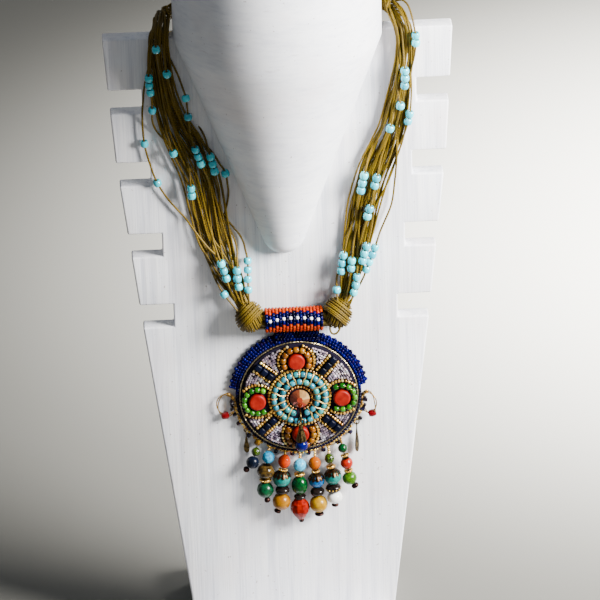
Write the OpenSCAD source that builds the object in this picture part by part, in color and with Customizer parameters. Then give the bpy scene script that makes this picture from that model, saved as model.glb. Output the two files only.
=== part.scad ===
// Beaded pendant necklace on a plain slotted neck bust.
// X runs to the right as seen from the front, Y to the back, Z up.
// The origin is at the centre of the underside of the bust's foot.

/* [Bust] */
// Thickness of the bust's board
board_t = 9; // [7:0.5:12]
// Height of the board's top edge
board_top = 308; // [300:1:320]
// Half width of the board at its top edge
board_half = 79; // [76:0.5:84]
// Height of one shoulder slot
slot_h = 11.5; // [9:0.5:13]
// Depth of a shoulder slot from the board's side
slot_depth = 15; // [10:0.5:16]
// Distance from one slot to the next
slot_pitch = 35.8; // [33:0.1:37]
// Half width of the neck, and how far it stands out of the board
neck_r = 47; // [42:0.5:47.5]
// Height of the neck's flat top
neck_top = 356; // [330:1:370]
// Height of the rounded point at the lower end of the neck
neck_tip_z = 200; // [180:1:220]
// Width of the foot plate
foot_w = 94; // [90:1:158]
// Depth of the foot plate
foot_d = 120; // [110:1:140]
// Thickness of the foot plate
foot_t = 15; // [10:1:18]

/* [Cords] */
// Diameter of one waxed cord
cord_d = 1.1; // [0.9:0.1:1.3]
// Radius of the small beads on the cords
cord_bead_r = 2; // [1.6:0.1:2]
// Length of a small cord bead along its cord
cord_bead_len = 3.2; // [2.8:0.1:3.2]
// Radius of the wound knots
knot_r = 6.6; // [6:0.1:6.6]
// Half height of the wound knots
knot_half_h = 7.6; // [7:0.1:8]
// Radius of the clasp barrel behind the neck
clasp_r = 4.8; // [4.5:0.1:5.5]
// Length of the clasp barrel
clasp_len = 16; // [14:1:20]

/* [Bead tube] */
// Outer radius of the woven bead tube
tube_r = 5.9; // [5.5:0.1:6]
// Bore radius of the woven bead tube
tube_bore_r = 4.4; // [4:0.1:4.5]
// Height of the tube's axis
tube_z = 168.3; // [168:0.1:169]

/* [Medallion] */
// Radius of the backing disc
backing_r = 29.2; // [29:0.1:30]
// Radius of the gold wire ring
ring_r = 27.3; // [27.2:0.1:27.6]
// Radius of the embroidered ground inside the ring
ground_r = 26.6; // [26.5:0.1:26.6]
// Radius of the coral cabochons
coral_r = 3.95; // [3.6:0.05:4.1]
// Radius of the centre crystal
crystal_r = 4.6; // [4:0.1:4.8]
// Radius of the loop of small beads round a coral
petal_r = 6.05; // [5.95:0.05:6.1]
// Half the width of the gold side hoops
hoop_half_w = 4.1; // [3.8:0.1:4.3]

/* [Hidden] */

// Room left between neighbouring pieces
gap = 0.15;
// Room left between the board and what lies on it
lie_gap = 0.3;

// Y of a point that lies so far in front of the board's face
function front(depth) = -board_t / 2 - depth;

// Half width of the board against height
board_foot_half = board_half * 0.6;
SIDE = [
    [foot_t + gap, board_foot_half],
    [163, board_half * 0.833],
    [250, board_half * 0.956],
    [board_top, board_half]
];
slot_count = 4;
slot_top_z = board_top - 30.7;

neck_tip_r = 10;
foot_corner_r = 12;

// Tube, knots and pendant
tube_x0 = -10.2;
tube_x1 = 16.6;
tube_depth = tube_r + lie_gap;
knot_z = 170.6;
knot_left_x = tube_x0 - gap - knot_r;
knot_right_x = tube_x1 + gap + knot_r;
knot_depth = knot_r + lie_gap;
strap_half = 10.6;
strap_d0 = 2.5;
strap_t = 1.7;

disc_x = 4.6;
disc_z = 128.1;
strap_top_z = tube_z - 5;
strap_low_z = disc_z + ring_r - 4;
backing_t = 2;
ground_d0 = lie_gap + backing_t + gap;
ground_t = 2;
face_d = ground_d0 + ground_t + gap;
ring_wire_r = 0.5;
coral_h = 2.9;
crystal_h = 2.8;
crystal_x = disc_x + 0.3;
crystal_z = disc_z - 0.8;
rings_z = disc_z - 0.3;

// Corals: sideways, up, and direction that each faces away from the centre
CORAL_TOP = [-0.8, 18.3, 90];
CORAL_LEFT = [-19.4, -1.5, 180];
CORAL_RIGHT = [19.8, -1.2, 0];
CORAL_BOTTOM = [0.2, -19.1, 270];
amber_r = 1.4;
amber_count = 9;
amber_step = 28;
green_r = 1.28;
green_left_count = 10;
green_left_step = 26;
green_right_count = 9;
green_right_step = 29;

inner_ring_r = 8.3;
inner_count = 16;
inner_bead_r = 1.4;
outer_ring_r = 12;
outer_count = 24;
outer_bead_r = 1.35;
thread_r = 0.2;
bead_bore_r = 0.45;

// Angle of each bar of navy blocks, and the blocks' distances from the centre
BAR_ANGLES = [48.3, 139.5, 223.5, 316];
BAR_RADII = [17.2, 20.75, 24.3];
block_len = 3.3;
block_w = 3.2;
block_h = 2.4;

// Centre drop
wire_r = 0.4;
bail_r = 2.2;
bail_depth = 9.5;
bail_z = crystal_z - crystal_r - 2.8;
loop_r = 1.4;
loop_inset = 1;
drop_depth = bail_depth + loop_inset;
loop_z = bail_z - sqrt((bail_r - 2 * wire_r - 0.08) ^ 2 - loop_inset ^ 2) - loop_r;
cap_top_z = 115.5;
cap_bottom_z = 107.9;
cap_r = 2.35;
cap_tip_r = 0.9;
drop_r = 3;
drop_z = 105.6;
pin_r = 0.35;
pin_end_z = 102.1;

// Hoops and leaf drops
hoop_wire_r = 0.35;
hoop_half_h = 5.5;
hoop_left_z = disc_z - 4.1;
hoop_right_z = disc_z - 5.5;
hoop_turn = 42;
hoop_bead_r = 1.8;
hoop_bead_left_at = 260;
hoop_bead_right_at = 298;
hoop_steps = 28;
hoop_sides = 10;
leaf_t = 0.6;
leaf_half_w = 2;
leaf_wire_r = 0.28;
leaf_loop_r = 0.9;

// Where the gathered cords cross behind the neck
nape_y = 9.6;
nape_z = 316;

// Left bundle: x, y, z, half width, half thickness, facing angle.
// The facing angle is 0 on the front of the board, 90 on its top edge and 180 behind the neck.
BUNDLE_LEFT = [
    [-17.5, front(5.6), 172, 3.2, 2.6, 0],
    [-19.8, front(5.2), 177, 3.6, 2.6, 0],
    [-22.2, front(4.2), 182.5, 4.4, 2.3, 0],
    [-26, front(3), 192.5, 7, 1.9, 0],
    [-29.6, front(2.4), 203, 8.4, 1.8, 0],
    [-32.6, front(2.2), 213, 8.8, 1.8, 0],
    [-37.2, front(2.2), 239.5, 9.4, 1.8, 0],
    [-42.8, front(2.4), 254, 8.8, 1.9, 0],
    [-48, front(2.7), 266, 7.6, 2.2, 0],
    [-51.8, front(3), 280, 6.4, 2.5, 0],
    [-53.6, front(3.6), 293, 5.8, 2.9, 0],
    [-54, front(4.4), 304, 5.2, 3.4, 8],
    [-53.4, front(3.2), 310.6, 4.6, 3.6, 45],
    [-52.2, 0, 312.6, 4.2, 3.6, 90],
    [-51, 7.4, 313.8, 4.3, 3.5, 125],
    [-45.8, 10.2, 315, 4.5, 3.5, 160],
    [-38, nape_y, 315.6, 4.8, 3.5, 180],
    [-20, nape_y, nape_z, 4.6, 3.6, 180],
    [-clasp_len / 2 - gap, nape_y, nape_z, 4, 3.8, 180]
];

// Right bundle, with the same columns
BUNDLE_RIGHT = [
    [23.6, front(5.6), 172, 2.8, 2.6, 0],
    [26.6, front(5.2), 177, 2.6, 2.8, 0],
    [28.2, front(4.4), 181, 3.2, 2.6, 0],
    [30.2, front(3.4), 188, 4.4, 2.3, 0],
    [32, front(2.6), 196, 5.8, 2, 0],
    [34.9, front(2.2), 211, 7.4, 1.8, 0],
    [37.6, front(2.2), 224, 8.4, 1.8, 0],
    [42.1, front(2.3), 238.5, 8.6, 1.8, 0],
    [47.3, front(2.5), 251, 7.8, 2, 0],
    [51, front(2.8), 262, 6.6, 2.3, 0],
    [54, front(3), 278, 5.4, 2.6, 0],
    [56.4, front(3.6), 293, 4.6, 2.9, 0],
    [57, front(4.4), 304, 4.4, 3.4, 8],
    [56, front(3.2), 310.6, 4.4, 3.6, 45],
    [54.2, 0, 312.6, 4.4, 3.6, 90],
    [52, 6.4, 313.8, 4.4, 3.5, 125],
    [46.5, 10, 315, 4.6, 3.5, 160],
    [38, nape_y, 315.6, 4.8, 3.5, 180],
    [20, nape_y, nape_z, 4.6, 3.6, 180],
    [clasp_len / 2 + gap, nape_y, nape_z, 4, 3.8, 180]
];
bundle_sides = 12;
bundle_steps = 3;

// Beaded cords in front of each bundle: the cord's points as x and z, from the top down,
// and the heights of the beads on it
STRANDS_LEFT = [
    [[[-55.1, 311], [-55, 306], [-54.5, 300]], [306.6]],
    [[[-58.8, 297], [-58.7, 288], [-57.8, 280], [-58, 271]], [291.8, 288.2, 284.6, 275.5]],
    [[[-51.3, 300], [-50.6, 294], [-49.3, 287]], [293.9]],
    [[[-44, 286], [-42.4, 280], [-41.7, 271], [-41.2, 265]], [279.8, 271.4]],
    [[[-61.5, 281], [-62.4, 271], [-61.9, 257.6], [-59.6, 246.7], [-56.8, 238], [-51.8, 229], [-44, 219]],
        [257.7, 237.9]],
    [[[-51, 260.5], [-49.1, 253.8], [-46.7, 247]], [253.8]],
    [[[-40.6, 261.3], [-37.9, 251.8], [-34.6, 242.3]], [255.3, 251.8, 248.3]],
    [[[-33.8, 257], [-31.4, 247.3], [-29.4, 237.6]], [250.9, 247.4, 243.9]],
    [[[-29.7, 249], [-25.8, 242], [-24.8, 234.4]], [241.6]],
    [[[-42, 243], [-41.6, 234.4], [-41.1, 226.3]], [236, 232.5]],
    [[[-31, 204], [-28.2, 194.6], [-25.7, 185.7]], [198.2, 194.6, 191]],
    [[[-21.7, 201], [-22.1, 190.4], [-20.6, 181.5]], [194.4, 190.6, 186.8]],
    [[[-18, 203.7], [-17, 197.6], [-17.2, 191], [-17.2, 181]], [197.6, 193.6, 189.4, 184.6]],
    [[[-31, 187.4], [-28.4, 182.7], [-25.6, 179]], [182.7]]
];
STRANDS_RIGHT = [
    [[[61.2, 311], [61.9, 306.2], [61.4, 299.6]], [307.4, 303.8]],
    [[[56.3, 295], [56.6, 286.6], [55.8, 278.5]], [290.3, 286.7, 283]],
    [[[53.5, 278.5], [54.3, 273], [53.2, 266.4]], [273]],
    [[[59.2, 273.5], [58.2, 266.7], [56.2, 259]], [268.2, 264.6]],
    [[[50.9, 267.5], [49.4, 262], [46.9, 255.4]], [261.9]],
    [[[38.8, 244.5], [36.3, 235], [34.6, 225.8]], [238.6, 235, 231.4]],
    [[[44.3, 243.3], [41.9, 233.7], [40.6, 227.5]], [237.3, 233.7]],
    [[[40.6, 226.2], [38.8, 220.6], [37.1, 214.6]], [222.1, 218.5]],
    [[[51.8, 239], [51.1, 232], [49.5, 222], [45.5, 212], [42.6, 205.3], [40.7, 199.7], [38.1, 193.9],
        [35.4, 187]], [201.8, 198.4, 195, 191.6]],
    [[[39, 208], [36.2, 199], [34.1, 190.8]], [203.4, 199.9, 196.4]],
    [[[28.3, 204.7], [25.9, 195.2], [25.3, 184.5]], [199.2, 195.4, 191.6]],
    [[[31.2, 202], [30.3, 195], [29.6, 189.6]], [196.8, 193.2]],
    [[[33, 193], [32, 185], [30.1, 178.8]], [188.8, 185.1, 181.6]],
    [[[23.4, 186], [23.2, 182], [23.4, 179.4]], [182.4]]
];
strand_sides = 8;
strand_step = 2.5;
strand_bore_r = 1;
strand_r = cord_d / 2;

// Profile of the cut drop from its lower end: share of its radius, share of its height from the middle
DROP_STEPS = [
    [0, -0.5], [0.36, -0.5], [0.68, -0.3], [0.96, -0.09], [1, 0.05], [0.86, 0.3], [0.45, 0.5], [0, 0.5]
];

// Fringe, strand by strand from the left: x, z, radius, height along the strand, node
FRINGE = [
    [
        [-15.2, 104.1, 1.6, 3.2, "fringe_small"],
        [-16.2, 100.1, 2.1, 4.2, "fringe_small"],
        [-17.9, 95.1, 3, 6, "fringe_1_navy"],
        [-20.9, 91.6, 1.5, 2.8, "fringe_dark"]
    ],
    [
        [-10.5, 97, 2.9, 5.8, "fringe_2_sky"],
        [-11.9, 90.1, 4.1, 7, "fringe_2_olive"],
        [-12.2, 85.7, 2.6, 1.5, "fringe_brass"],
        [-12.4, 80.6, 3.9, 7.8, "fringe_2_green"],
        [-11.6, 75.2, 1.5, 2.6, "fringe_dark"]
    ],
    [
        [-3.1, 94.4, 2.9, 6.4, "fringe_3_orange"],
        [-3.9, 90.65, 2, 0.8, "fringe_brass"],
        [-4.6, 86, 4.1, 8.2, "fringe_3_turquoise"],
        [-4.4, 80.1, 3.4, 2.8, "fringe_dark"],
        [-5, 74.1, 4.2, 8.4, "fringe_3_yellow"],
        [-7, 69.2, 1.7, 1.6, "fringe_dark"]
    ],
    [
        [4, 92.3, 3, 6, "fringe_4_sky"],
        [3.7, 87.9, 2.4, 1.9, "fringe_brass"],
        [3.7, 82.1, 3.8, 9.2, "fringe_4_green"],
        [3.7, 76.2, 2.8, 1.6, "fringe_dark"],
        [3.6, 69.9, 4.6, 10.4, "fringe_4_red"],
        [4.1, 63.7, 1.2, 1.6, "fringe_brass"]
    ],
    [
        [11, 93, 2.9, 6.2, "fringe_5_amber"],
        [11.3, 89.05, 1.8, 1.2, "fringe_brass"],
        [11.6, 84.3, 3.7, 7.4, "fringe_5_blue"],
        [11.9, 78.3, 3.3, 3.4, "fringe_dark"],
        [12.3, 71.9, 4.2, 8.4, "fringe_5_yellow"],
        [12.5, 66.7, 2.2, 1.2, "fringe_dark"]
    ],
    [
        [17.9, 95.1, 2.3, 4.8, "fringe_small"],
        [18.4, 91.1, 2.1, 1.8, "fringe_brass"],
        [19.3, 85.8, 3.9, 7.8, "fringe_6_turquoise"],
        [19.4, 79.8, 3.6, 3.4, "fringe_dark"],
        [20, 75, 3.6, 5.6, "fringe_6_white"],
        [20, 71.1, 1.7, 1.6, "fringe_dark"]
    ],
    [
        [24.2, 99.9, 2.2, 4.4, "fringe_small"],
        [25.1, 96.6, 1.9, 1.4, "fringe_brass"],
        [25.9, 92.5, 2.9, 5.8, "fringe_7_coral"],
        [26.6, 88.7, 2, 1.2, "fringe_brass"],
        [27.1, 84.7, 3.4, 6.2, "fringe_7_green"],
        [29.5, 80.6, 1.8, 2.2, "fringe_dark"]
    ]
];
FRINGE_TOP_X = [-14.2, -9.8, -2.4, 4.5, 11.3, 17.6, 23.3];
fringe_depth = 4.9;
fringe_top_depth = 2;
fringe_lean = 0.4;
fringe_thread_r = 0.25;

// One row of a table at a place between its rows, smoothly joined
function clamp_index(rows, i) = rows[max(0, min(len(rows) - 1, i))];
function smooth_row(rows, u) =
    let(
        i = min(floor(u), len(rows) - 2),
        t = u - i,
        a = clamp_index(rows, i - 1),
        b = rows[i],
        c = rows[i + 1],
        d = clamp_index(rows, i + 2)
    )
    b + (c - a) * t / 2 + (2 * a - 5 * b + 4 * c - d) * t * t / 2 + (3 * b - a - 3 * c + d) * t * t * t / 2;

// X of a cord at a height, smooth through its points, which run from the top down
function slope_at(points, i) =
    let(a = clamp_index(points, i - 1), b = clamp_index(points, i + 1))
    (b[0] - a[0]) / (b[1] - a[1]);
function segment_at(points, z, i = 0) =
    i >= len(points) - 2 || z >= points[i + 1][1] ? i : segment_at(points, z, i + 1);
function x_at(points, z) =
    let(
        i = segment_at(points, z),
        a = points[i],
        b = points[i + 1],
        run = b[1] - a[1],
        t = (z - a[1]) / run,
        ma = slope_at(points, i) * run,
        mb = slope_at(points, i + 1) * run
    )
    a[0] * (2 * t ^ 3 - 3 * t ^ 2 + 1) + ma * (t ^ 3 - 2 * t ^ 2 + t)
    + b[0] * (3 * t ^ 2 - 2 * t ^ 3) + mb * (t ^ 3 - t ^ 2);

// How far in front of the board a cord or bead of radius r rides over a bundle
function column(rows, c) = [for (row = rows) if (row[5] < 20) [row[2], row[c]]];
function ride_depth(rows, x, z, r) =
    let(
        room = r + 0.5,
        half = lookup(z, column(rows, 3)) * 1.1 + room,
        s = min(1, abs(x - lookup(z, column(rows, 0))) / half),
        centre = -board_t / 2 - lookup(z, column(rows, 1))
    )
    max(r + lie_gap, centre + (lookup(z, column(rows, 4)) + room) * sqrt(1 - s * s));

// A cord lies low between its beads and rises to their height beside them
function nearness(beads, z) =
    let(near = min([for (b = beads) abs(z - b)]), k = max(0, min(1, (8 - near) / 5)))
    k * k * (3 - 2 * k);
function strand_point(rows, strand, z) =
    let(
        x = x_at(strand[0], z),
        k = nearness(strand[1], z),
        low = ride_depth(rows, x, z, strand_r),
        high = ride_depth(rows, x, z, cord_bead_r)
    )
    [x, front(low + (high - low) * k), z];

// Sections along a route, and the closed skin through them
function unit(v) = v / norm(v);
function ring_of(centre, along, facing, half_w, half_t, sides) =
    let(w = unit(cross(along, facing)), n = unit(cross(w, along)))
    [for (j = [0:sides - 1]) centre + w * half_w * cos(360 * j / sides) - n * half_t * sin(360 * j / sides)];
function faces_of(rings, sides) = concat(
    [[for (j = [0:sides - 1]) j]],
    [for (i = [0:rings - 2], j = [0:sides - 1])
        [i * sides + j, (i + 1) * sides + j, (i + 1) * sides + (j + 1) % sides]],
    [for (i = [0:rings - 2], j = [0:sides - 1])
        [i * sides + j, (i + 1) * sides + (j + 1) % sides, i * sides + (j + 1) % sides]],
    [[for (j = [sides - 1:-1:0]) (rings - 1) * sides + j]]
);

module skin(rings, sides) {
    polyhedron(points = [for (ring = rings) each ring], faces = faces_of(len(rings), sides));
}

module bundle(rows) {
    steps = (len(rows) - 1) * bundle_steps;
    rings = [for (k = [0:steps])
        let(
            u = k / bundle_steps,
            row = smooth_row(rows, u),
            ahead = smooth_row(rows, min(len(rows) - 1, u + 0.05)),
            behind = smooth_row(rows, max(0, u - 0.05)),
            along = [ahead[0] - behind[0], ahead[1] - behind[1], ahead[2] - behind[2]]
        )
        ring_of([row[0], row[1], row[2]], along, [0, -cos(row[5]), sin(row[5])],
            row[3], row[4], bundle_sides)];
    skin(rings, bundle_sides);
}

// A round tube through a list of points
module round_tube(points, r, sides) {
    last = len(points) - 1;
    rings = [for (i = [0:last])
        ring_of(points[i], points[min(last, i + 1)] - points[max(0, i - 1)], [0, -1, 0], r, r, sides)];
    skin(rings, sides);
}

// Turns the children's own Z along a direction
module along(direction) {
    d = unit(direction);
    rotate([0, acos(d[2]), atan2(d[1], d[0])]) children();
}

// Turns the children's own Z to the front of the board, at a place on the board's face
module on_board(x, z, depth) {
    translate([x, front(depth), z]) rotate([90, 0, 0]) children();
}

module torus(r, wire) {
    rotate_extrude($fn = 96) translate([r, 0]) circle(r = wire, $fn = 24);
}

module drilled_ball(r, length, bore_r) {
    difference() {
        intersection() {
            sphere(r = r, $fn = 48);
            cylinder(r = r + 1, h = length, center = true, $fn = 48);
        }
        cylinder(r = bore_r, h = 2 * r + 2, center = true, $fn = 24);
    }
}

// Bust

module bust_board() {
    cutter = 50;
    half = [for (row = SIDE) [row[1], row[0]]];
    mirrored = [for (i = [len(SIDE) - 1:-1:0]) [-SIDE[i][1], SIDE[i][0]]];
    color("gainsboro") difference() {
        rotate([90, 0, 0]) linear_extrude(board_t, center = true) polygon(concat(half, mirrored));
        for (side = [-1, 1], i = [0:slot_count - 1]) {
            z = slot_top_z - i * slot_pitch;
            middle = lookup(z, SIDE) - slot_depth + cutter / 2;
            translate([side * middle, 0, z]) cube([cutter, board_t + 2, slot_h], center = true);
        }
    }
}

module bust_neck() {
    column_h = neck_top - board_top - gap;
    weld = 0.2;
    color("whitesmoke") union() {
        difference() {
            translate([0, -board_t / 2, 0]) hull() {
                translate([0, 0, board_top + gap]) cylinder(r = neck_r, h = column_h, $fn = 96);
                translate([0, 0, neck_tip_z + neck_tip_r]) sphere(r = neck_tip_r, $fn = 32);
            }
            translate([-100, front(gap), 0]) cube([200, 100, 400]);
        }
        translate([-neck_r, front(gap + weld), board_top + gap])
            cube([2 * neck_r, board_t + gap + weld, column_h]);
    }
}

module bust_foot() {
    w = foot_w / 2 - foot_corner_r;
    d = foot_d / 2 - foot_corner_r;
    color("gainsboro") linear_extrude(foot_t) union() {
        square([foot_w, 2 * d], center = true);
        square([2 * w, foot_d], center = true);
        for (x = [-w, w], y = [-d, d]) translate([x, y]) circle(r = foot_corner_r, $fn = 48);
    }
}

// Cords

module knot_body(grow = 0) {
    r = knot_r + grow;
    h = knot_half_h + grow;
    rotate_extrude($fn = 64) polygon([for (a = [-90:11.25:90]) [r * cos(a), h * sin(a)]]);
}

module knot_place(x) {
    translate([x, front(knot_depth), knot_z]) children();
}

module knot_left() {
    color("darkgoldenrod") knot_place(knot_left_x) knot_body();
}

module knot_right() {
    color("darkgoldenrod") knot_place(knot_right_x) knot_body();
}

module cord_bundle_left() {
    color("olive") difference() {
        bundle(BUNDLE_LEFT);
        knot_place(knot_left_x) knot_body(gap);
    }
}

module cord_bundle_right() {
    color("olive") difference() {
        bundle(BUNDLE_RIGHT);
        knot_place(knot_right_x) knot_body(gap);
    }
}

module cord_core() {
    color("darkgoldenrod") difference() {
        translate([knot_left_x, front(tube_depth), tube_z]) rotate([0, 90, 0])
            cylinder(r = tube_bore_r - gap, h = knot_right_x - knot_left_x, $fn = 48);
        for (x = [knot_left_x, knot_right_x]) knot_place(x) knot_body(gap);
    }
}

module clasp() {
    color("peru") translate([0, nape_y, nape_z]) rotate([0, 90, 0])
        cylinder(r = clasp_r, h = clasp_len, center = true, $fn = 48);
}

module strands(rows, table) {
    for (strand = table) {
        top = strand[0][0][1];
        bottom = strand[0][len(strand[0]) - 1][1];
        steps = round((top - bottom) / strand_step);
        points = [for (i = [0:steps]) strand_point(rows, strand, bottom + (top - bottom) * i / steps)];
        round_tube(points, strand_r, strand_sides);
    }
}

module cord_beads(rows, table) {
    for (strand = table, z = strand[1]) {
        here = strand_point(rows, strand, z);
        above = strand_point(rows, strand, z + cord_bead_len / 2);
        below = strand_point(rows, strand, z - cord_bead_len / 2);
        translate((2 * here + above + below) / 4) along(above - below)
            drilled_ball(cord_bead_r, cord_bead_len, strand_bore_r);
    }
}

module strands_left() {
    color("olive") strands(BUNDLE_LEFT, STRANDS_LEFT);
}

module strands_right() {
    color("olive") strands(BUNDLE_RIGHT, STRANDS_RIGHT);
}

module cord_beads_left() {
    color("turquoise") cord_beads(BUNDLE_LEFT, STRANDS_LEFT);
}

module cord_beads_right() {
    color("turquoise") cord_beads(BUNDLE_RIGHT, STRANDS_RIGHT);
}

// Bead tube and strap

module bead_tube() {
    color("orangered") translate([tube_x0, front(tube_depth), tube_z]) rotate([0, 90, 0]) difference() {
        cylinder(r = tube_r, h = tube_x1 - tube_x0, $fn = 64);
        translate([0, 0, -1]) cylinder(r = tube_bore_r, h = tube_x1 - tube_x0 + 2, $fn = 64);
    }
}

module tube_strap() {
    color("midnightblue") difference() {
        translate([disc_x - strap_half, front(strap_d0 + strap_t), strap_low_z])
            cube([2 * strap_half, strap_t, strap_top_z - strap_low_z]);
        on_board(disc_x, disc_z, 0) cylinder(r = ring_r + ring_wire_r + gap, h = 12, $fn = 96);
        translate([-30, front(tube_depth), tube_z]) rotate([0, 90, 0])
            cylinder(r = tube_r + gap, h = 70, $fn = 64);
    }
}

// Medallion

module disc_backing() {
    color("indigo") on_board(disc_x, disc_z, lie_gap) cylinder(r = backing_r, h = backing_t, $fn = 96);
}

module disc_ground() {
    color("dimgray") on_board(disc_x, disc_z, ground_d0) cylinder(r = ground_r, h = ground_t, $fn = 96);
}

module bezel_ring() {
    color("gold") on_board(disc_x, disc_z, ground_d0 + ground_t - ring_wire_r) torus(ring_r, ring_wire_r);
}

module crystal() {
    girdle = 1.1;
    color("chocolate") on_board(crystal_x, crystal_z, face_d) hull() {
        cylinder(r1 = crystal_r * 0.8, r2 = crystal_r, h = girdle, $fn = 16);
        translate([0, 0, girdle]) cylinder(r = crystal_r, h = 0.3, $fn = 16);
        translate([0, 0, crystal_h - 0.1]) cylinder(r = crystal_r * 0.28, h = 0.1, $fn = 8);
    }
}

module coral(place) {
    shoulder = 0.9;
    foot = [[0, 0], [coral_r - 0.3, 0], [coral_r, 0.4]];
    dome = [for (a = [0:15:90]) [coral_r * cos(a), coral_h - shoulder * (1 - sin(a))]];
    color("tomato") on_board(disc_x + place[0], disc_z + place[1], face_d)
        rotate_extrude($fn = 48) polygon(concat(foot, dome));
}

module coral_top() {
    coral(CORAL_TOP);
}

module coral_left() {
    coral(CORAL_LEFT);
}

module coral_right() {
    coral(CORAL_RIGHT);
}

module coral_bottom() {
    coral(CORAL_BOTTOM);
}

// One bead of a ring of beads sewn flat on the ground, drilled along the ring
module ring_bead(x, z, radius, angle, r) {
    on_board(x, z, face_d + r) rotate([0, 0, angle]) translate([radius, 0, 0])
        rotate([90, 0, 0]) drilled_ball(r, 2 * r, bead_bore_r);
}

module turquoise_inner() {
    color("skyblue") for (i = [0:inner_count - 1]) if (i != inner_count / 2)
        ring_bead(crystal_x, rings_z, inner_ring_r, 90 + 360 * i / inner_count, inner_bead_r);
}

module turquoise_outer() {
    color("skyblue") for (i = [0:outer_count - 1])
        ring_bead(crystal_x, rings_z, outer_ring_r, 82 + 360 * i / outer_count, outer_bead_r);
}

module petals(place, count, step, r) {
    for (i = [0:count - 1])
        ring_bead(disc_x + place[0], disc_z + place[1], petal_r, place[2] + (i - (count - 1) / 2) * step, r);
}

module amber_top() {
    color("orange") petals(CORAL_TOP, amber_count, amber_step, amber_r);
}

module amber_bottom() {
    color("orange") petals(CORAL_BOTTOM, amber_count, amber_step, amber_r);
}

module green_left() {
    color("limegreen") petals(CORAL_LEFT, green_left_count, green_left_step, green_r);
}

module green_right() {
    color("limegreen") petals(CORAL_RIGHT, green_right_count, green_right_step, green_r);
}

module navy_bars() {
    color("navy") for (angle = BAR_ANGLES, radius = BAR_RADII)
        on_board(disc_x, disc_z, face_d) rotate([0, 0, angle])
            translate([radius - block_len / 2, -block_w / 2, 0]) cube([block_len, block_w, block_h]);
}

module petal_thread(place, count, step, r) {
    sweep = (count - 1) * step + 12;
    on_board(disc_x + place[0], disc_z + place[1], face_d + r) rotate([0, 0, place[2] - sweep / 2])
        rotate_extrude(angle = sweep, $fn = 96) translate([petal_r, 0]) circle(r = thread_r, $fn = 16);
}

module ring_threads() {
    color("khaki") {
        on_board(crystal_x, rings_z, face_d + inner_bead_r) rotate([0, 0, 270 + 18])
            rotate_extrude(angle = 324, $fn = 96) translate([inner_ring_r, 0]) circle(r = thread_r, $fn = 16);
        on_board(crystal_x, rings_z, face_d + outer_bead_r) torus(outer_ring_r, thread_r);
        petal_thread(CORAL_TOP, amber_count, amber_step, amber_r);
        petal_thread(CORAL_BOTTOM, amber_count, amber_step, amber_r);
        petal_thread(CORAL_LEFT, green_left_count, green_left_step, green_r);
        petal_thread(CORAL_RIGHT, green_right_count, green_right_step, green_r);
    }
}

// Centre drop

module drop_bail() {
    leg = bail_depth - face_d;
    color("darkgoldenrod") translate([crystal_x, front(bail_depth), bail_z]) {
        rotate([90, 0, 270]) rotate([0, 0, -90]) rotate_extrude(angle = 180, $fn = 48)
            translate([bail_r, 0]) circle(r = wire_r, $fn = 24);
        for (side = [-1, 1]) translate([0, 0, side * bail_r]) rotate([-90, 0, 0])
            cylinder(r = wire_r, h = leg, $fn = 24);
    }
}

module drop_cap() {
    color("saddlebrown") translate([crystal_x, front(drop_depth), 0]) {
        difference() {
            translate([0, 0, cap_bottom_z])
                cylinder(r1 = cap_r, r2 = cap_tip_r, h = cap_top_z - cap_bottom_z, $fn = 48);
            translate([0, 0, drop_z]) sphere(r = drop_r + gap, $fn = 48);
        }
        translate([0, 0, cap_top_z - 0.2]) cylinder(r = 0.8, h = loop_z - loop_r - cap_top_z + 0.4, $fn = 24);
        translate([0, 0, loop_z]) rotate([90, 0, 0]) torus(loop_r, wire_r);
        translate([0, 0, pin_end_z]) cylinder(r = pin_r, h = cap_top_z - 2 - pin_end_z, $fn = 24);
        translate([0, 0, pin_end_z]) sphere(r = 0.6, $fn = 24);
    }
}

module drop_bead() {
    color("mediumblue") translate([crystal_x, front(drop_depth), drop_z])
        drilled_ball(drop_r, 2 * drop_r, pin_r + gap);
}

// Hoops and leaf drops at the sides

hoop_reach = backing_r + gap + hoop_wire_r;
hoop_left_x = disc_x - sqrt(hoop_reach ^ 2 - (disc_z - hoop_left_z) ^ 2) - hoop_half_w - gap;
hoop_right_x = disc_x + sqrt(hoop_reach ^ 2 - (disc_z - hoop_right_z) ^ 2)
    + hoop_half_w * cos(hoop_turn) + gap;
hoop_left_depth = lie_gap + hoop_bead_r;
hoop_right_depth = lie_gap + hoop_wire_r + hoop_half_w * sin(hoop_turn);

function hoop_point(angle) = [hoop_half_w * cos(angle), 0, hoop_half_h * sin(angle)];

// An oval of wire whose two ends meet in the hoop's bead
module hoop(bead_at) {
    half_gap = asin((hoop_bead_r + gap) / hoop_half_w);
    sweep = 360 - 2 * half_gap;
    round_tube([for (i = [0:hoop_steps]) hoop_point(bead_at + half_gap + sweep * i / hoop_steps)],
        hoop_wire_r, hoop_sides);
}

module place_left_hoop() {
    translate([hoop_left_x, front(hoop_left_depth), hoop_left_z]) children();
}

module place_right_hoop() {
    translate([hoop_right_x, front(hoop_right_depth), hoop_right_z]) rotate([0, 0, -hoop_turn]) children();
}

module hoop_left() {
    color("gold") place_left_hoop() hoop(hoop_bead_left_at);
}

module hoop_right() {
    color("gold") place_right_hoop() hoop(hoop_bead_right_at);
}

module hoop_beads() {
    color("crimson") {
        place_left_hoop() translate(hoop_point(hoop_bead_left_at)) sphere(r = hoop_bead_r, $fn = 32);
        place_right_hoop() translate(hoop_point(hoop_bead_right_at)) sphere(r = hoop_bead_r, $fn = 32);
    }
}

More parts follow.
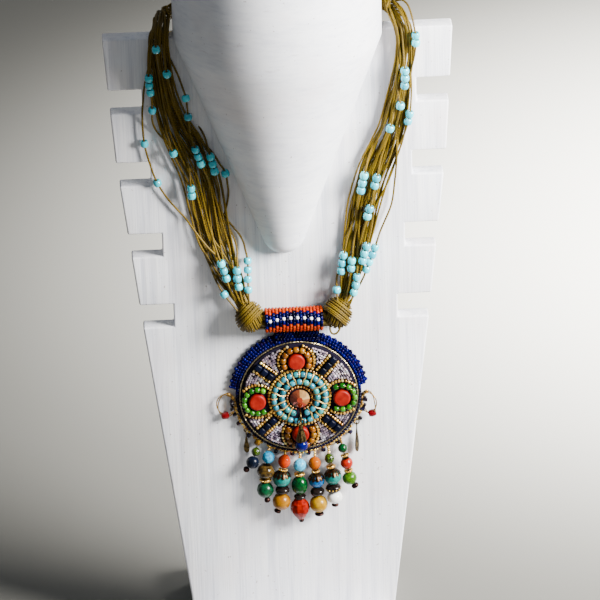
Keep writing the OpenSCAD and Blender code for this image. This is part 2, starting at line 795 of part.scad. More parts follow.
// A thin leaf with a loop at its top, hung from a jump ring at the backing's rim
module leaf(x, jump_r, blade_len, turn, depth) {
    reach = backing_r + gap + jump_r + leaf_wire_r;
    jump_z = disc_z - sqrt(reach ^ 2 - (x - disc_x) ^ 2);
    loop_z = jump_z - (jump_r - leaf_wire_r) - (leaf_loop_r - leaf_wire_r) + 0.1;
    blade_z = loop_z - leaf_loop_r - leaf_wire_r + 0.2;
    outline = [for (a = [0:15:345])
        [leaf_half_w * sin(a) * pow(sin(a / 2), 2), -blade_len * (1 - cos(a)) / 2]];
    color("goldenrod") translate([x, front(depth), 0]) {
        translate([0, 0, jump_z]) rotate([90, 0, 0]) torus(jump_r, leaf_wire_r);
        translate([0, 0, loop_z]) rotate([0, 90, 0]) torus(leaf_loop_r, leaf_wire_r);
        translate([0, 0, blade_z]) rotate([90, 0, turn])
            linear_extrude(leaf_t, center = true) polygon(outline);
    }
}

module leaf_left() {
    leaf(x = -20.3, jump_r = 0.9, blade_len = 9.6, turn = 0, depth = 1.6);
}

module leaf_right() {
    leaf(x = 31.1, jump_r = 1.2, blade_len = 13, turn = 52, depth = 2.2);
}

// Fringe

// The strand starts under the backing's rim and leans forward to its full depth
function fringe_points(s) =
    let(
        reach = backing_r + fringe_thread_r + gap,
        top_z = disc_z - sqrt(reach ^ 2 - (FRINGE_TOP_X[s] - disc_x) ^ 2)
    )
    concat(
        [[FRINGE_TOP_X[s], front(fringe_top_depth), top_z]],
        [for (row = FRINGE[s])
            [row[0], front(min(fringe_depth, fringe_top_depth + (top_z - row[1]) * fringe_lean)), row[1]]]
    );

// A ball, an egg or a flat rondelle, by how its height compares with its radius
module fringe_shape(r, h) {
    same = 0.01;
    if (abs(h - 2 * r) < same) sphere(r = r, $fn = 48);
    if (h > 2 * r + same) rotate_extrude($fn = 48)
        polygon([for (a = [-90:11.25:90]) [r * cos(a), h / 2 * sin(a)]]);
    if (h < 2 * r - same) rotate_extrude($fn = 48) union() {
        translate([0, -h / 2]) square([r - h / 2, h]);
        intersection() {
            translate([r - h / 2, 0]) circle(r = h / 2, $fn = 32);
            translate([0, -h]) square([2 * r, 2 * h]);
        }
    }
}

// The cut drop at the end of the middle strand: a short shoulder over a long taper
module fringe_drop(r, h) {
    rotate_extrude($fn = 48) polygon([for (step = DROP_STEPS) [r * step[0], h * step[1]]]);
}

module fringe(name, tint) {
    color(tint) for (s = [0:len(FRINGE) - 1]) {
        points = fringe_points(s);
        for (i = [0:len(FRINGE[s]) - 1]) if (FRINGE[s][i][4] == name) {
            r = FRINGE[s][i][2];
            h = FRINGE[s][i][3];
            direction = points[i] - points[min(len(points) - 1, i + 2)];
            translate(points[i + 1]) along(direction) difference() {
                if (name == "fringe_4_red") fringe_drop(r, h); else fringe_shape(r, h);
                cylinder(r = fringe_thread_r + 0.2 + r * 0.19, h = h + 2, center = true, $fn = 24);
            }
        }
    }
}

module fringe_threads() {
    color("black") for (s = [0:len(FRINGE) - 1]) round_tube(fringe_points(s), fringe_thread_r, 8);
}

bust_board();
bust_neck();
bust_foot();
cord_bundle_left();
cord_bundle_right();
cord_core();
clasp();
knot_left();
knot_right();
strands_left();
strands_right();
cord_beads_left();
cord_beads_right();
bead_tube();
tube_strap();
disc_backing();
disc_ground();
bezel_ring();
crystal();
coral_top();
coral_left();
coral_right();
coral_bottom();
turquoise_inner();
turquoise_outer();
amber_top();
amber_bottom();
green_left();
green_right();
navy_bars();
ring_threads();
drop_bail();
drop_cap();
drop_bead();
hoop_left();
hoop_right();
hoop_beads();
leaf_left();
leaf_right();
fringe("fringe_1_navy", "navy");  // fringe_1_navy
fringe("fringe_2_sky", "skyblue");  // fringe_2_sky
fringe("fringe_2_olive", "olive");  // fringe_2_olive
fringe("fringe_2_green", "seagreen");  // fringe_2_green
fringe("fringe_3_orange", "darkorange");  // fringe_3_orange
fringe("fringe_3_turquoise", "turquoise");  // fringe_3_turquoise
fringe("fringe_3_yellow", "gold");  // fringe_3_yellow
fringe("fringe_4_sky", "powderblue");  // fringe_4_sky
fringe("fringe_4_green", "darkgreen");  // fringe_4_green
fringe("fringe_4_red", "orangered");  // fringe_4_red
fringe("fringe_5_amber", "orange");  // fringe_5_amber
fringe("fringe_5_blue", "royalblue");  // fringe_5_blue
fringe("fringe_5_yellow", "gold");  // fringe_5_yellow
fringe("fringe_6_turquoise", "turquoise");  // fringe_6_turquoise
fringe("fringe_6_white", "white");  // fringe_6_white
fringe("fringe_7_coral", "tomato");  // fringe_7_coral
fringe("fringe_7_green", "seagreen");  // fringe_7_green
fringe("fringe_small", "olivedrab");  // fringe_small
fringe_threads();
fringe("fringe_brass", "darkgoldenrod");  // fringe_brass
fringe("fringe_dark", "black");  // fringe_dark
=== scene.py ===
# %% [markdown]
# # A beaded pendant necklace on its neck bust
# The necklace is made of three kinds of work: loose waxed cords with small beads, a tube woven from
# seed beads, and a medallion embroidered with beads, with a fringe below. The solid model gives every
# piece its place and size. This lesson gives each of them its real surface and its small parts.

# %% The fixed frame
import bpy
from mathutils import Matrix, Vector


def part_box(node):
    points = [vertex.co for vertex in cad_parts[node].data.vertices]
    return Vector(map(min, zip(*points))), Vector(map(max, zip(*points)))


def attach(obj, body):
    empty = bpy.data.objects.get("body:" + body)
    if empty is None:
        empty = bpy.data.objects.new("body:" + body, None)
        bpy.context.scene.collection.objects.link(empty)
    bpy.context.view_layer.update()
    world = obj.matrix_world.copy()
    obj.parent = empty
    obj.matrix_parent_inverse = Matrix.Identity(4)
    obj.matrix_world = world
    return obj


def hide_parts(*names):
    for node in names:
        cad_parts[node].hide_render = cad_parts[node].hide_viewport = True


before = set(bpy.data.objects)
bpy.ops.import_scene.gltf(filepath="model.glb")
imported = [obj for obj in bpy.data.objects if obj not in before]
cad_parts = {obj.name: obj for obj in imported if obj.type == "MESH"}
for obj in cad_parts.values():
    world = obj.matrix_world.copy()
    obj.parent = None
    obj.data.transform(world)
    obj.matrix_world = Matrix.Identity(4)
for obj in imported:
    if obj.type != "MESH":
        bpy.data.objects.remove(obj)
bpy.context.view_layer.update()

# %% [markdown]
# ## Units and places
# Jewellery is measured in millimetres, so every shape below is worked out in millimetres and turned
# into metres only when its mesh is made. Places come from the solid model: the board's front face, the
# knots, the bead tube and the medallion's centre are read from the boxes of their pieces.

# %% Units and places
import math
import random

import bmesh
import bpy
import numpy as np
from mathutils import Matrix, Vector

MM = 0.001
TAU = 2 * math.pi


def node_box(node):
    """Lowest and highest corner of a solid, in millimetres."""
    low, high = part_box(node)
    return np.array(low) / MM, np.array(high) / MM


def middle(node):
    low, high = node_box(node)
    return (low + high) / 2


def half_size(node):
    low, high = node_box(node)
    return (high - low) / 2


BOARD_LOW, BOARD_HIGH = node_box("bust_board")
FACE_Y = BOARD_LOW[1]
DISC = middle("bezel_ring")
GROUND_Y = node_box("disc_ground")[0][1]
BACKING_R = half_size("disc_backing")[0]
CRYSTAL = middle("crystal")


def front(depth):
    """Y of a point that lies so far in front of the board."""
    return FACE_Y - depth


def unit(v):
    return v / np.linalg.norm(v)


def spot(x, y, z):
    return np.array([x, y, z], float)


print("medallion centre, mm:", DISC.round(2), "ground face:", round(FACE_Y - GROUND_Y, 2), "before the board")

# %% [markdown]
# ## Camera
# The camera comes first, because every later choice of detail depends on how large a bead is in the
# picture. It looks down at the board by 25 degrees, stands a little to the left, and is tilted by a
# degree and a half or so. One pixel of the picture is then about half a millimetre on the board.

# %% Camera
VIEW_DOWN = math.radians(25)
VIEW_SIDE = math.radians(-2.2)
VIEW_ROLL = math.radians(1.7)
VIEW_DISTANCE = 2600
VIEW_WIDTH = 276
AIM = spot(6.6, FACE_Y, 174.9)


def add_camera():
    back = spot(math.sin(VIEW_SIDE) * math.cos(VIEW_DOWN), -math.cos(VIEW_SIDE) * math.cos(VIEW_DOWN),
                math.sin(VIEW_DOWN))
    level = spot(math.cos(VIEW_SIDE), math.sin(VIEW_SIDE), 0)
    upright = np.cross(back, level)
    right = level * math.cos(VIEW_ROLL) - upright * math.sin(VIEW_ROLL)
    up = level * math.sin(VIEW_ROLL) + upright * math.cos(VIEW_ROLL)
    data = bpy.data.cameras.new("camera")
    data.sensor_width = 36
    data.lens = data.sensor_width * VIEW_DISTANCE / VIEW_WIDTH
    data.clip_start, data.clip_end = 0.05, 40
    camera = bpy.data.objects.new("camera", data)
    turn = Matrix([tuple(v) for v in (right, up, back)]).transposed().to_4x4()
    camera.matrix_world = Matrix.Translation((AIM + back * VIEW_DISTANCE) * MM) @ turn
    bpy.context.scene.collection.objects.link(camera)
    bpy.context.scene.camera = camera
    print("camera lens, mm:", round(data.lens, 1))


add_camera()

# %% [markdown]
# ## Writing node trees as expressions
# A material or a Geometry Nodes tree is a web of boxes and wires. Written box by box it is long and
# hard to read, so one small class holds a socket and lets Python's own signs add the Math nodes, and
# one method adds any other node: its kind, its settings and the values or wires of its inputs.

# %% Node trees as expressions
class Wire:
    """One output socket of a tree that is being written."""

    def __init__(self, web, socket):
        self.web = web
        self.socket = socket

    def math(self, operation, *others):
        inputs = dict(enumerate((self, *others)))
        return self.web.add(self.web.math_kind, {"operation": operation}, inputs)

    def out(self, name):
        """Another output of the same node."""
        return Wire(self.web, self.web.find(self.socket.node.outputs, name))

    def __add__(self, other):
        return self.math("ADD", other)

    def __sub__(self, other):
        return self.math("SUBTRACT", other)

    def __mul__(self, other):
        return self.math("MULTIPLY", other)

    __radd__ = __add__
    __rmul__ = __mul__


class Web:
    """A tree that is being written, of a material or of Geometry Nodes."""

    math_kind = "ShaderNodeMath"

    def __init__(self, tree):
        self.tree = tree

    def find(self, sockets, key):
        shown = [s for s in sockets if s.enabled]
        return shown[key] if isinstance(key, int) else next(s for s in shown if s.name == key)

    def add(self, kind, settings=None, inputs=None, output=0):
        node = self.tree.nodes.new(kind)
        for name, value in (settings or {}).items():
            if name == "stops":
                self.set_stops(node.color_ramp, value)
            else:
                setattr(node, name, value)
        for key, value in (inputs or {}).items():
            socket = self.find(node.inputs, key)
            if isinstance(value, Wire):
                self.tree.links.new(value.socket, socket)
            else:
                socket.default_value = value
        return Wire(self, self.find(node.outputs, output)) if node.outputs else None

    def set_stops(self, ramp, stops):
        while len(ramp.elements) < len(stops):
            ramp.elements.new(0.5)
        for element, (place, shade) in zip(ramp.elements, stops):
            element.position = place
            element.color = shade if isinstance(shade, tuple) else (shade, shade, shade, 1)


print("helpers for node trees are ready")

# %% [markdown]
# ## Materials
# Every finish starts from the Principled shader. Glass beads of one string are never quite the same
# colour, so each bead carries its own tint as an attribute of its mesh, and the material reads it.
# Small differences of gloss come from noise on Object coordinates, which stays put from every side.

# %% Materials
def srgb(r, g, b):
    """A colour as seen on a screen, 0 to 255, as linear light."""
    levels = [c / 255 for c in (r, g, b)]
    return tuple(c / 12.92 if c <= 0.04045 else ((c + 0.055) / 1.055) ** 2.4 for c in levels) + (1,)


def vivid(r, g, b):
    """A strong colour, made purer and deeper, as the view transform pales what is lit brightly."""
    plain = srgb(r, g, b)[:3]
    least = min(plain)
    level = 0.38 * math.exp(3.6 * least)
    return (*[(c - 0.92 * least) * level for c in plain], 1)


class Finish(Web):
    """A material that is being written."""

    def __init__(self, name, **steady):
        self.material = bpy.data.materials.new(name)
        self.material.use_nodes = True
        super().__init__(self.material.node_tree)
        self.shader = self.tree.nodes["Principled BSDF"]
        for socket, value in steady.items():
            self.shader.inputs[socket.replace("_", " ")].default_value = value

    def place(self, scale=(1, 1, 1)):
        """Object coordinates in millimetres, stretched by a scale along each axis."""
        here = self.add("ShaderNodeTexCoord", output="Object")
        per_mm = tuple(s / MM for s in scale)
        return self.add("ShaderNodeVectorMath", {"operation": "MULTIPLY"}, {0: here, 1: per_mm})

    def noise(self, size, stretch=(1, 1, 1), detail=2.0):
        """Cloudy noise from 0 to 1, whose features are about so many millimetres wide."""
        inputs = {"Vector": self.place(stretch), "Scale": 1 / size, "Detail": detail}
        return self.add("ShaderNodeTexNoise", inputs=inputs)

    def read(self, name, output="Fac"):
        """A value that the mesh carries, such as a bead's tint."""
        return self.add("ShaderNodeAttribute", {"attribute_name": name}, output=output)

    def ramp(self, value, *stops):
        return self.add("ShaderNodeValToRGB", {"stops": stops}, {"Fac": value})

    def blend(self, amount, first, second, way="MIX"):
        settings = {"data_type": "RGBA", "blend_type": way, "clamp_factor": True}
        return self.add("ShaderNodeMix", settings, {"Factor": amount, "A": first, "B": second})

    def link(self, wire, socket):
        self.tree.links.new(wire.socket, self.shader.inputs[socket])

    def cloud_tint(self, other, *, size, detail, share, rough, spread, way="MIX"):
        """Colour from each bead's tint, mixed with another in clouds that also change the gloss."""
        cloud = self.noise(size, detail=detail)
        self.link(self.blend(cloud * share, self.read("tint", "Color"), other, way), "Base Color")
        self.link(rough + cloud * spread, "Roughness")
        return cloud

    def cloud_ramp(self, *stops, size, detail, rough, spread):
        """Colour and gloss that both follow the same clouds."""
        cloud = self.noise(size, detail=detail)
        self.link(self.ramp(cloud, *stops), "Base Color")
        self.link(rough + cloud * spread, "Roughness")
        return cloud

    def twist(self, lay, yarns=1):
        """A wave from 0 to 1 that runs slanting around a cord, once in a lay of so many millimetres."""
        turn = self.read("along") * (TAU / (lay * MM)) + self.read("around") * (TAU * yarns)
        return turn.math("SINE") * 0.5 + 0.5

    def bump(self, height, depth_mm, strength=1.0):
        """Raises the surface by the height, 0 to 1, times a depth."""
        inputs = {"Height": height, "Distance": depth_mm * MM, "Strength": strength}
        self.link(self.add("ShaderNodeBump", inputs=inputs), "Normal")


def tinted_glass(name, rough, coat, gloss):
    """Beads that take their colour from their own tint."""
    finish = Finish(name, Coat_Weight=coat, Coat_Roughness=0.06, Specular_IOR_Level=gloss)
    finish.cloud_tint((1, 1, 1, 1), size=0.5, detail=2.0, share=0.35, rough=rough, spread=0.1,
                      way="SOFT_LIGHT")
    return finish.material


def metal(name, bright, dark, rough, wear_mm=1.2):
    """Cast or drawn metal, darker where it is tarnished."""
    finish = Finish(name, Metallic=1.0)
    tarnish = finish.cloud_ramp((0.36, dark), (0.6, bright), size=wear_mm, detail=4.0, rough=rough,
                                spread=0.18)
    finish.bump(tarnish, 0.02)
    return finish.material


def mottled_stone(name, light, deep, vein, size=1.6, rough=0.22, coat=0.16):
    """Polished stone or pressed glass with clouds and thin veins."""
    finish = Finish(name, Coat_Weight=coat, Coat_Roughness=0.05, Specular_IOR_Level=coat)
    cloud = finish.noise(size, detail=5.0)
    fine = finish.noise(size * 0.55, detail=3.0)
    thread = finish.ramp((fine - 0.5).math("ABSOLUTE"), (0.0, 1.0), (0.035, 0.0))
    body = finish.ramp(cloud, (0.35, deep), (0.62, light))
    finish.link(finish.blend(thread * 0.55, body, vein), "Base Color")
    finish.link(rough + fine * 0.12, "Roughness")
    return finish.material


print("helpers for finishes are ready")

# %% [markdown]
# ## Making pieces
# A piece is a plain mesh in the solid model's own frame, with its object at the origin. Edges sharper
# than a set angle stay crisp, and all others are shaded smooth. Each piece hides the solids that it
# stands for.

# %% Pieces
SHARP = math.radians(38)


def new_object(name, points, edges=(), faces=(), material=None):
    mesh = bpy.data.meshes.new(name)
    mesh.from_pydata([tuple(np.asarray(p, float) * MM) for p in points], list(edges), list(faces))
    if material:
        mesh.materials.append(material)
    obj = bpy.data.objects.new(name, mesh)
    bpy.context.scene.collection.objects.link(obj)
    return obj


def tidy_normals(obj):
    """Merges doubled points and turns every face outwards."""
    work = bmesh.new()
    work.from_mesh(obj.data)
    bmesh.ops.remove_doubles(work, verts=work.verts, dist=1e-6)
    bmesh.ops.recalc_face_normals(work, faces=work.faces)
    work.to_mesh(obj.data)
    work.free()


def settle(obj):
    """Replaces an object's modifiers by their plain result."""
    name = obj.name
    result = bpy.data.meshes.new_from_object(obj.evaluated_get(bpy.context.evaluated_depsgraph_get()))
    bpy.data.objects.remove(obj)
    made = bpy.data.objects.new(name, result)
    bpy.context.scene.collection.objects.link(made)
    return made


def join(name, *parts):
    """Several objects as one, each keeping its material."""
    mesh = bpy.data.meshes.new(name)
    work = bmesh.new()
    for part in parts:
        count = len(work.faces)
        work.from_mesh(part.data)
        work.faces.ensure_lookup_table()
        for face in work.faces[count:]:
            face.material_index += len(mesh.materials)
        for material in part.data.materials:
            mesh.materials.append(material)
        bpy.data.objects.remove(part)
    work.to_mesh(mesh)
    work.free()
    obj = bpy.data.objects.new(name, mesh)
    bpy.context.scene.collection.objects.link(obj)
    return obj


def finish_piece(obj, slot, *nodes, sharp=SHARP):
    """Smooth shading, and hides the solids that a piece stands for; slot, the finish of the record that it
    takes, is not used.
    """
    if sharp:
        obj.data.polygons.foreach_set("use_smooth", [True] * len(obj.data.polygons))
        obj.data.set_sharp_from_angle(angle=sharp)
    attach(obj, "root")
    if nodes:
        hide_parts(*nodes)
    print(obj.name, "has", sum(len(f.vertices) - 2 for f in obj.data.polygons), "triangles")


def paint_tints(obj, tints, domain="POINT"):
    """Notes a tint on every point or face of a mesh."""
    paint = obj.data.attributes.new("tint", "FLOAT_COLOR", domain)
    paint.data.foreach_set("color", [c for tint in tints for c in tint])


def dress(node, material):
    """Gives a solid of the model a finish and leaves its shape alone."""
    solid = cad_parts[node]
    solid.data.materials.clear()
    solid.data.materials.append(material)


def loft(name, rings, *, material, closed=False):
    """A skin over rings of points, with both ends capped unless the rings meet again."""
    sides = len(rings[0])
    points = [p for ring in rings for p in ring]
    count = len(rings)
    faces = []
    for i in range(count if closed else count - 1):
        for j in range(sides):
            a, b = i * sides, (i + 1) % count * sides
            faces.append((a + j, a + (j + 1) % sides, b + (j + 1) % sides, b + j))
    if not closed:
        faces.append(tuple(range(sides))[::-1])
        faces.append(tuple((count - 1) * sides + j for j in range(sides)))
    obj = new_object(name, points, faces=faces, material=material)
    tidy_normals(obj)
    return obj


def arc(across, along, wide, long, start, end, count):
    """Points of a profile on an arc around one of its points, with a radius each way."""
    return [(across + wide * math.cos(a), along + long * math.sin(a)) for a in np.linspace(start, end, count)]


def turned(name, profile, centre, axis=(0, 0, 1), *, sides, material, ring=False):
    """A lathe-turned shape: a profile of radius and height about an axis. Its two ends are closed over,
    or joined to each other if it is a ring."""
    axis = unit(np.array(axis, float))
    side = unit(np.cross(axis, (0, 1, 0.1)))
    other = np.cross(axis, side)
    turn = [TAU * j / sides for j in range(sides)]
    rings = [[centre + axis * h + (side * math.cos(a) + other * math.sin(a)) * max(r, 0.001) for a in turn]
             for r, h in profile]
    return loft(name, rings, closed=ring, material=material)


print("helpers for pieces are ready")

# %% [markdown]
# ## Geometry Nodes for cords and beads
# Two trees do most of the work. The first draws a round cord along every line of a mesh, and notes on
# it how far along and how far round each point is, for the twist of the thread. The second puts a bead
# on every point of a mesh: the point carries the bead's turn, size and tint. A seed bead is a short
# ring with a rounded wall, so the tree makes it by sweeping one small circle around another.

# %% Geometry Nodes for cords and beads
def geometry_tree(name, *sockets):
    """An empty tree with named inputs, and what comes in through each."""
    tree = bpy.data.node_groups.new(name, "GeometryNodeTree")
    for label, kind in (("Base", "Geometry"), *sockets):
        tree.interface.new_socket(label, in_out="INPUT", socket_type="NodeSocket" + kind)
    tree.interface.new_socket("Result", in_out="OUTPUT", socket_type="NodeSocketGeometry")
    web = Web(tree)
    entry = web.add("NodeGroupInput")
    return web, entry


def close_tree(web, geometry, material):
    """Every tree ends in real meshes with their material on."""
    real = web.add("GeometryNodeRealizeInstances", inputs={"Geometry": geometry})
    painted = web.add("GeometryNodeSetMaterial", inputs={"Geometry": real, "Material": material})
    web.add("NodeGroupOutput", inputs={0: painted})
    return web.tree


def keep(web, geometry, name, kind, value):
    inputs = {"Geometry": geometry, "Name": name, "Value": value}
    return web.add("GeometryNodeStoreNamedAttribute", {"data_type": kind, "domain": "POINT"}, inputs)


def recall(web, name, kind):
    return web.add("GeometryNodeInputNamedAttribute", {"data_type": kind}, {"Name": name}, "Attribute")


def cord_tree():
    web, entry = geometry_tree("cords", ("Radius", "Float"), ("Sides", "Int"), ("Material", "Material"))
    lines = web.add("GeometryNodeMeshToCurve", inputs={"Mesh": entry.out("Base")})
    along = web.add("GeometryNodeSplineParameter", output="Length")
    lines = keep(web, lines, "along", "FLOAT", along)
    circle = web.add("GeometryNodeCurvePrimitiveCircle",
                     inputs={"Resolution": entry.out("Sides"), "Radius": entry.out("Radius")})
    around = web.add("GeometryNodeSplineParameter", output="Factor")
    circle = keep(web, circle, "around", "FLOAT", around)
    tubes = web.add("GeometryNodeCurveToMesh",
                    inputs={"Curve": lines, "Profile Curve": circle, "Fill Caps": True})
    return close_tree(web, tubes, entry.out("Material"))


def bead_tree():
    sizes = [(label, "Float") for label in ("Radius", "Bore", "Length")]
    web, entry = geometry_tree("beads", *sizes, ("Sides", "Int"), ("Rings", "Int"), ("Material", "Material"))
    radius, bore, length = (entry.out(label) for label, _ in sizes)
    wall = web.add("GeometryNodeCurvePrimitiveCircle",
                   inputs={"Resolution": entry.out("Rings"), "Radius": 1.0})
    stretch = web.add("ShaderNodeCombineXYZ",
                      inputs={"X": (radius - bore) * 0.5, "Y": length * 0.5, "Z": 1.0})
    wall = web.add("GeometryNodeTransform", inputs={"Geometry": wall, "Scale": stretch})
    hoop = web.add("GeometryNodeCurvePrimitiveCircle",
                   inputs={"Resolution": entry.out("Sides"), "Radius": (radius + bore) * 0.5})
    bead = web.add("GeometryNodeCurveToMesh", inputs={"Curve": hoop, "Profile Curve": wall})
    turn = web.add("FunctionNodeEulerToRotation", inputs={0: recall(web, "turn", "FLOAT_VECTOR")})
    size = recall(web, "size", "FLOAT_VECTOR")
    strung = web.add("GeometryNodeInstanceOnPoints",
                     inputs={"Points": entry.out("Base"), "Instance": bead, "Rotation": turn, "Scale": size})
    return close_tree(web, strung, entry.out("Material"))


def grow(name, tree, base, **values):
    """Runs a tree on an object and keeps the plain mesh that comes out."""
    modifier = base.modifiers.new("grow", "NODES")
    modifier.node_group = tree
    for item in tree.interface.items_tree:
        if item.in_out == "INPUT" and item.name in values:
            modifier[item.identifier] = values[item.name]
    base.data.update()
    base.name = name
    made = settle(base)
    for spare in ("turn", "size"):
        if spare in made.data.attributes:
            made.data.attributes.remove(made.data.attributes[spare])
    return made


CORDS = cord_tree()
BEADS = bead_tree()


def lines_object(lines, tints):
    """A mesh of open lines, with a tint for each line, or plain white without tints."""
    points, edges, shades = [], [], []
    for i, line in enumerate(lines):
        start = len(points)
        points += list(line)
        edges += [(start + k, start + k + 1) for k in range(len(line) - 1)]
        shades += [tints[i] if tints else (1, 1, 1, 1)] * len(line)
    obj = new_object("lines", points, edges=edges)
    paint_tints(obj, shades)
    return obj


def cords(name, lines, radius, material, sides=8, tints=None):
    base = lines_object(lines, tints)
    return grow(name, CORDS, base, Radius=radius * MM, Sides=sides, Material=material)


def beads(name, spots, radius, bore, length, material, sides=12, rings=8):
    """Beads on spots. A spot is a place, the direction of its bore, a size and a tint."""
    base = new_object("spots", [s[0] for s in spots])
    turns, sizes = [], []
    for _, axis, size, _ in spots:
        turns += Vector(axis).to_track_quat("Z", "Y").to_euler()
        sizes += size if hasattr(size, "__len__") else (size,) * 3
    for label, values in (("turn", turns), ("size", sizes)):
        base.data.attributes.new(label, "FLOAT_VECTOR", "POINT").data.foreach_set("vector", values)
    paint_tints(base, [s[3] for s in spots])
    return grow(name, BEADS, base, Radius=radius * MM, Bore=bore * MM, Length=length * MM,
                Sides=sides, Rings=rings, Material=material)


def shade(chance, colour, spread, others=(), share=0.0):
    """A bead's own tint: near the colour, or now and then one of the others."""
    base = np.array(chance.choice(others) if others and chance.random() < share else colour[:3])[:3]
    level = 1 + chance.uniform(-spread, spread)
    tint = [c * level * (1 + chance.uniform(-spread, spread) * 0.4) for c in base]
    return *(float(np.clip(c, 0, 1)) for c in tint), 1


print("trees for cords and beads are ready")

# %% [markdown]
# ## The bust
# The bust is sawn from board and painted by hand in white, so it has softened edges, a faint grain
# under the paint, brush strokes, and a few small marks. The board is its outline pushed to its
# thickness with a small bevel. The neck is a turned shape cut in half, so it is built ring by ring.

# %% The bust's paint
def bust_paint(name, along, depth=0.35, spread=0.15):
    """White paint brushed along one direction, the one with the small scale."""
    finish = Finish(name, Coat_Weight=0.06, Coat_Roughness=0.4)
    strokes = finish.noise(0.9, along, detail=4.0)
    broad = finish.noise(3.4, along, detail=3.0)
    cloud = finish.noise(30.0, detail=3.0)
    streak = strokes * 0.45 + broad * 0.55
    paint = finish.ramp(streak, (0.5 - spread, srgb(203, 205, 214)), (0.5, srgb(228, 229, 234)),
                        (0.5 + spread, srgb(240, 240, 241)))
    paint = finish.blend(finish.ramp(cloud, (0.5, 0.0), (0.72, 1.0)) * 0.35, paint, srgb(222, 208, 204))
    worn = finish.ramp(finish.noise(2.2, along, detail=5.0), (0.68, 0.0), (0.75, 1.0))
    paint = finish.blend(worn * 0.4, paint, srgb(176, 166, 172))
    speck = finish.ramp(finish.noise(1.3, detail=1.0), (0.755, 0.0), (0.775, 1.0))
    paint = finish.blend(speck * 0.6, paint, srgb(120, 98, 90))
    finish.link(paint, "Base Color")
    finish.link(0.45 + strokes * 0.2, "Roughness")
    finish.bump(streak, depth, 0.6)
    return finish.material


PAINT = bust_paint("white_paint_upright", (1, 1, 0.03))
NECK_PAINT = bust_paint("white_paint_level", (0.16, 0.16, 0.7), 0.08, 0.28)

# %% The board, the neck and the foot
SLOTS = 4
SLOT_TOP_Z = BOARD_HIGH[2] - 30.7
SLOT_PITCH = 35.8
SLOT_HALF = 5.75
SLOT_DEPTH = 15
BEND_Z = (163, 250)
BEND_HALF = (0.833, 0.956)


def board_half(z):
    """Half width of the board at a height."""
    full = BOARD_HIGH[0]
    return float(np.interp(z, (BOARD_LOW[2], *BEND_Z, BOARD_HIGH[2]),
                           (full * 0.6, full * BEND_HALF[0], full * BEND_HALF[1], full)))


def board_outline():
    """The right edge from the foot up, with its slots."""
    points = [(board_half(BOARD_LOW[2]), BOARD_LOW[2])]
    for i in reversed(range(SLOTS)):
        z = SLOT_TOP_Z - i * SLOT_PITCH
        inner = board_half(z) - SLOT_DEPTH
        points += [(board_half(z - SLOT_HALF), z - SLOT_HALF), (inner, z - SLOT_HALF),
                   (inner, z + SLOT_HALF), (board_half(z + SLOT_HALF), z + SLOT_HALF)]
    points.append((BOARD_HIGH[0], BOARD_HIGH[2]))
    return points


def softened(obj, width, segments=3, least=30):
    """Rounds the edges that are sharper than an angle in degrees."""
    bevel = obj.modifiers.new("soft edges", "BEVEL")
    bevel.width, bevel.segments = width * MM, segments
    bevel.limit_method, bevel.angle_limit = "ANGLE", math.radians(least)
    return settle(obj)


def make_board():
    right = board_outline()
    outline = right + [(-x, z) for x, z in reversed(right)]
    rings = [[spot(x, y, z) for x, z in outline] for y in (BOARD_LOW[1], BOARD_HIGH[1])]
    finish_piece(softened(loft("board", rings, material=PAINT), 0.9), "bust_white", "bust_board")


NECK_TIP_R = 10
SEAM = 0.15


def neck_sections():
    """Radius, height and back of the neck from its rounded tip up, as the solid has them."""
    low, high = node_box("bust_neck")
    full, back, top = high
    ledge = BOARD_HIGH[2] + SEAM
    rise = ledge - (low[2] + NECK_TIP_R)
    lean = math.asin((full - NECK_TIP_R) / math.hypot(rise, full)) * 0.985
    ball = [(NECK_TIP_R * math.sin(a), low[2] + NECK_TIP_R - NECK_TIP_R * math.cos(a))
            for a in np.linspace(0.03, math.pi / 2 - lean, 10)]
    r, z = ball[-1]
    slope = [(r + (full - r) * t, z + (ledge - z) * t) for t in np.linspace(0.1, 0.9, 9)]
    sections = [(r, z, front(SEAM)) for r, z in ball + slope + [(full, ledge)]]
    return sections + [(full, ledge, back), (full, top - 1, back), (full - 0.3, top - 0.3, back - 0.3),
                       (full - 1, top, back - 1)]


def make_neck():
    rings = []
    for r, z, back in neck_sections():
        half_round = arc(0, FACE_Y, r, -r, 0, math.pi, 65)
        flat = [(-r * math.cos(t * math.pi), back) for t in np.linspace(0, 1, 9)]
        rings.append([spot(x, y, z) for x, y in half_round + flat])
    finish_piece(loft("neck", rings, material=NECK_PAINT), "bust_white", "bust_neck")


def make_foot():
    low, high = node_box("bust_foot")
    corner = 12
    outline = []
    for k, (sx, sy) in enumerate(((1, 1), (-1, 1), (-1, -1), (1, -1))):
        for a in np.linspace(k * 90, k * 90 + 90, 9):
            outline.append((sx * (high[0] - corner) + corner * math.cos(math.radians(a)),
                            sy * (high[1] - corner) + corner * math.sin(math.radians(a))))
    rings = [[spot(x, y, z) for x, y in outline] for z in (low[2], high[2])]
    foot = softened(loft("foot", rings, material=PAINT), 1.0, least=40)
    finish_piece(foot, "bust_white", "bust_foot")


make_board()
make_neck()
make_foot()

# %% [markdown]
# ## Waxed cords
# About twenty cords run on each side, from the knot at the bead tube up over the board's edge to the
# clasp. They fan out over the board, cross each other and gather again. The tables repeat the solid
# model's route: a place on the middle line, how wide and thick the bundle is there, and which way its
# front faces. Each cord keeps its own place across the bundle, and changes it slowly as it crosses.

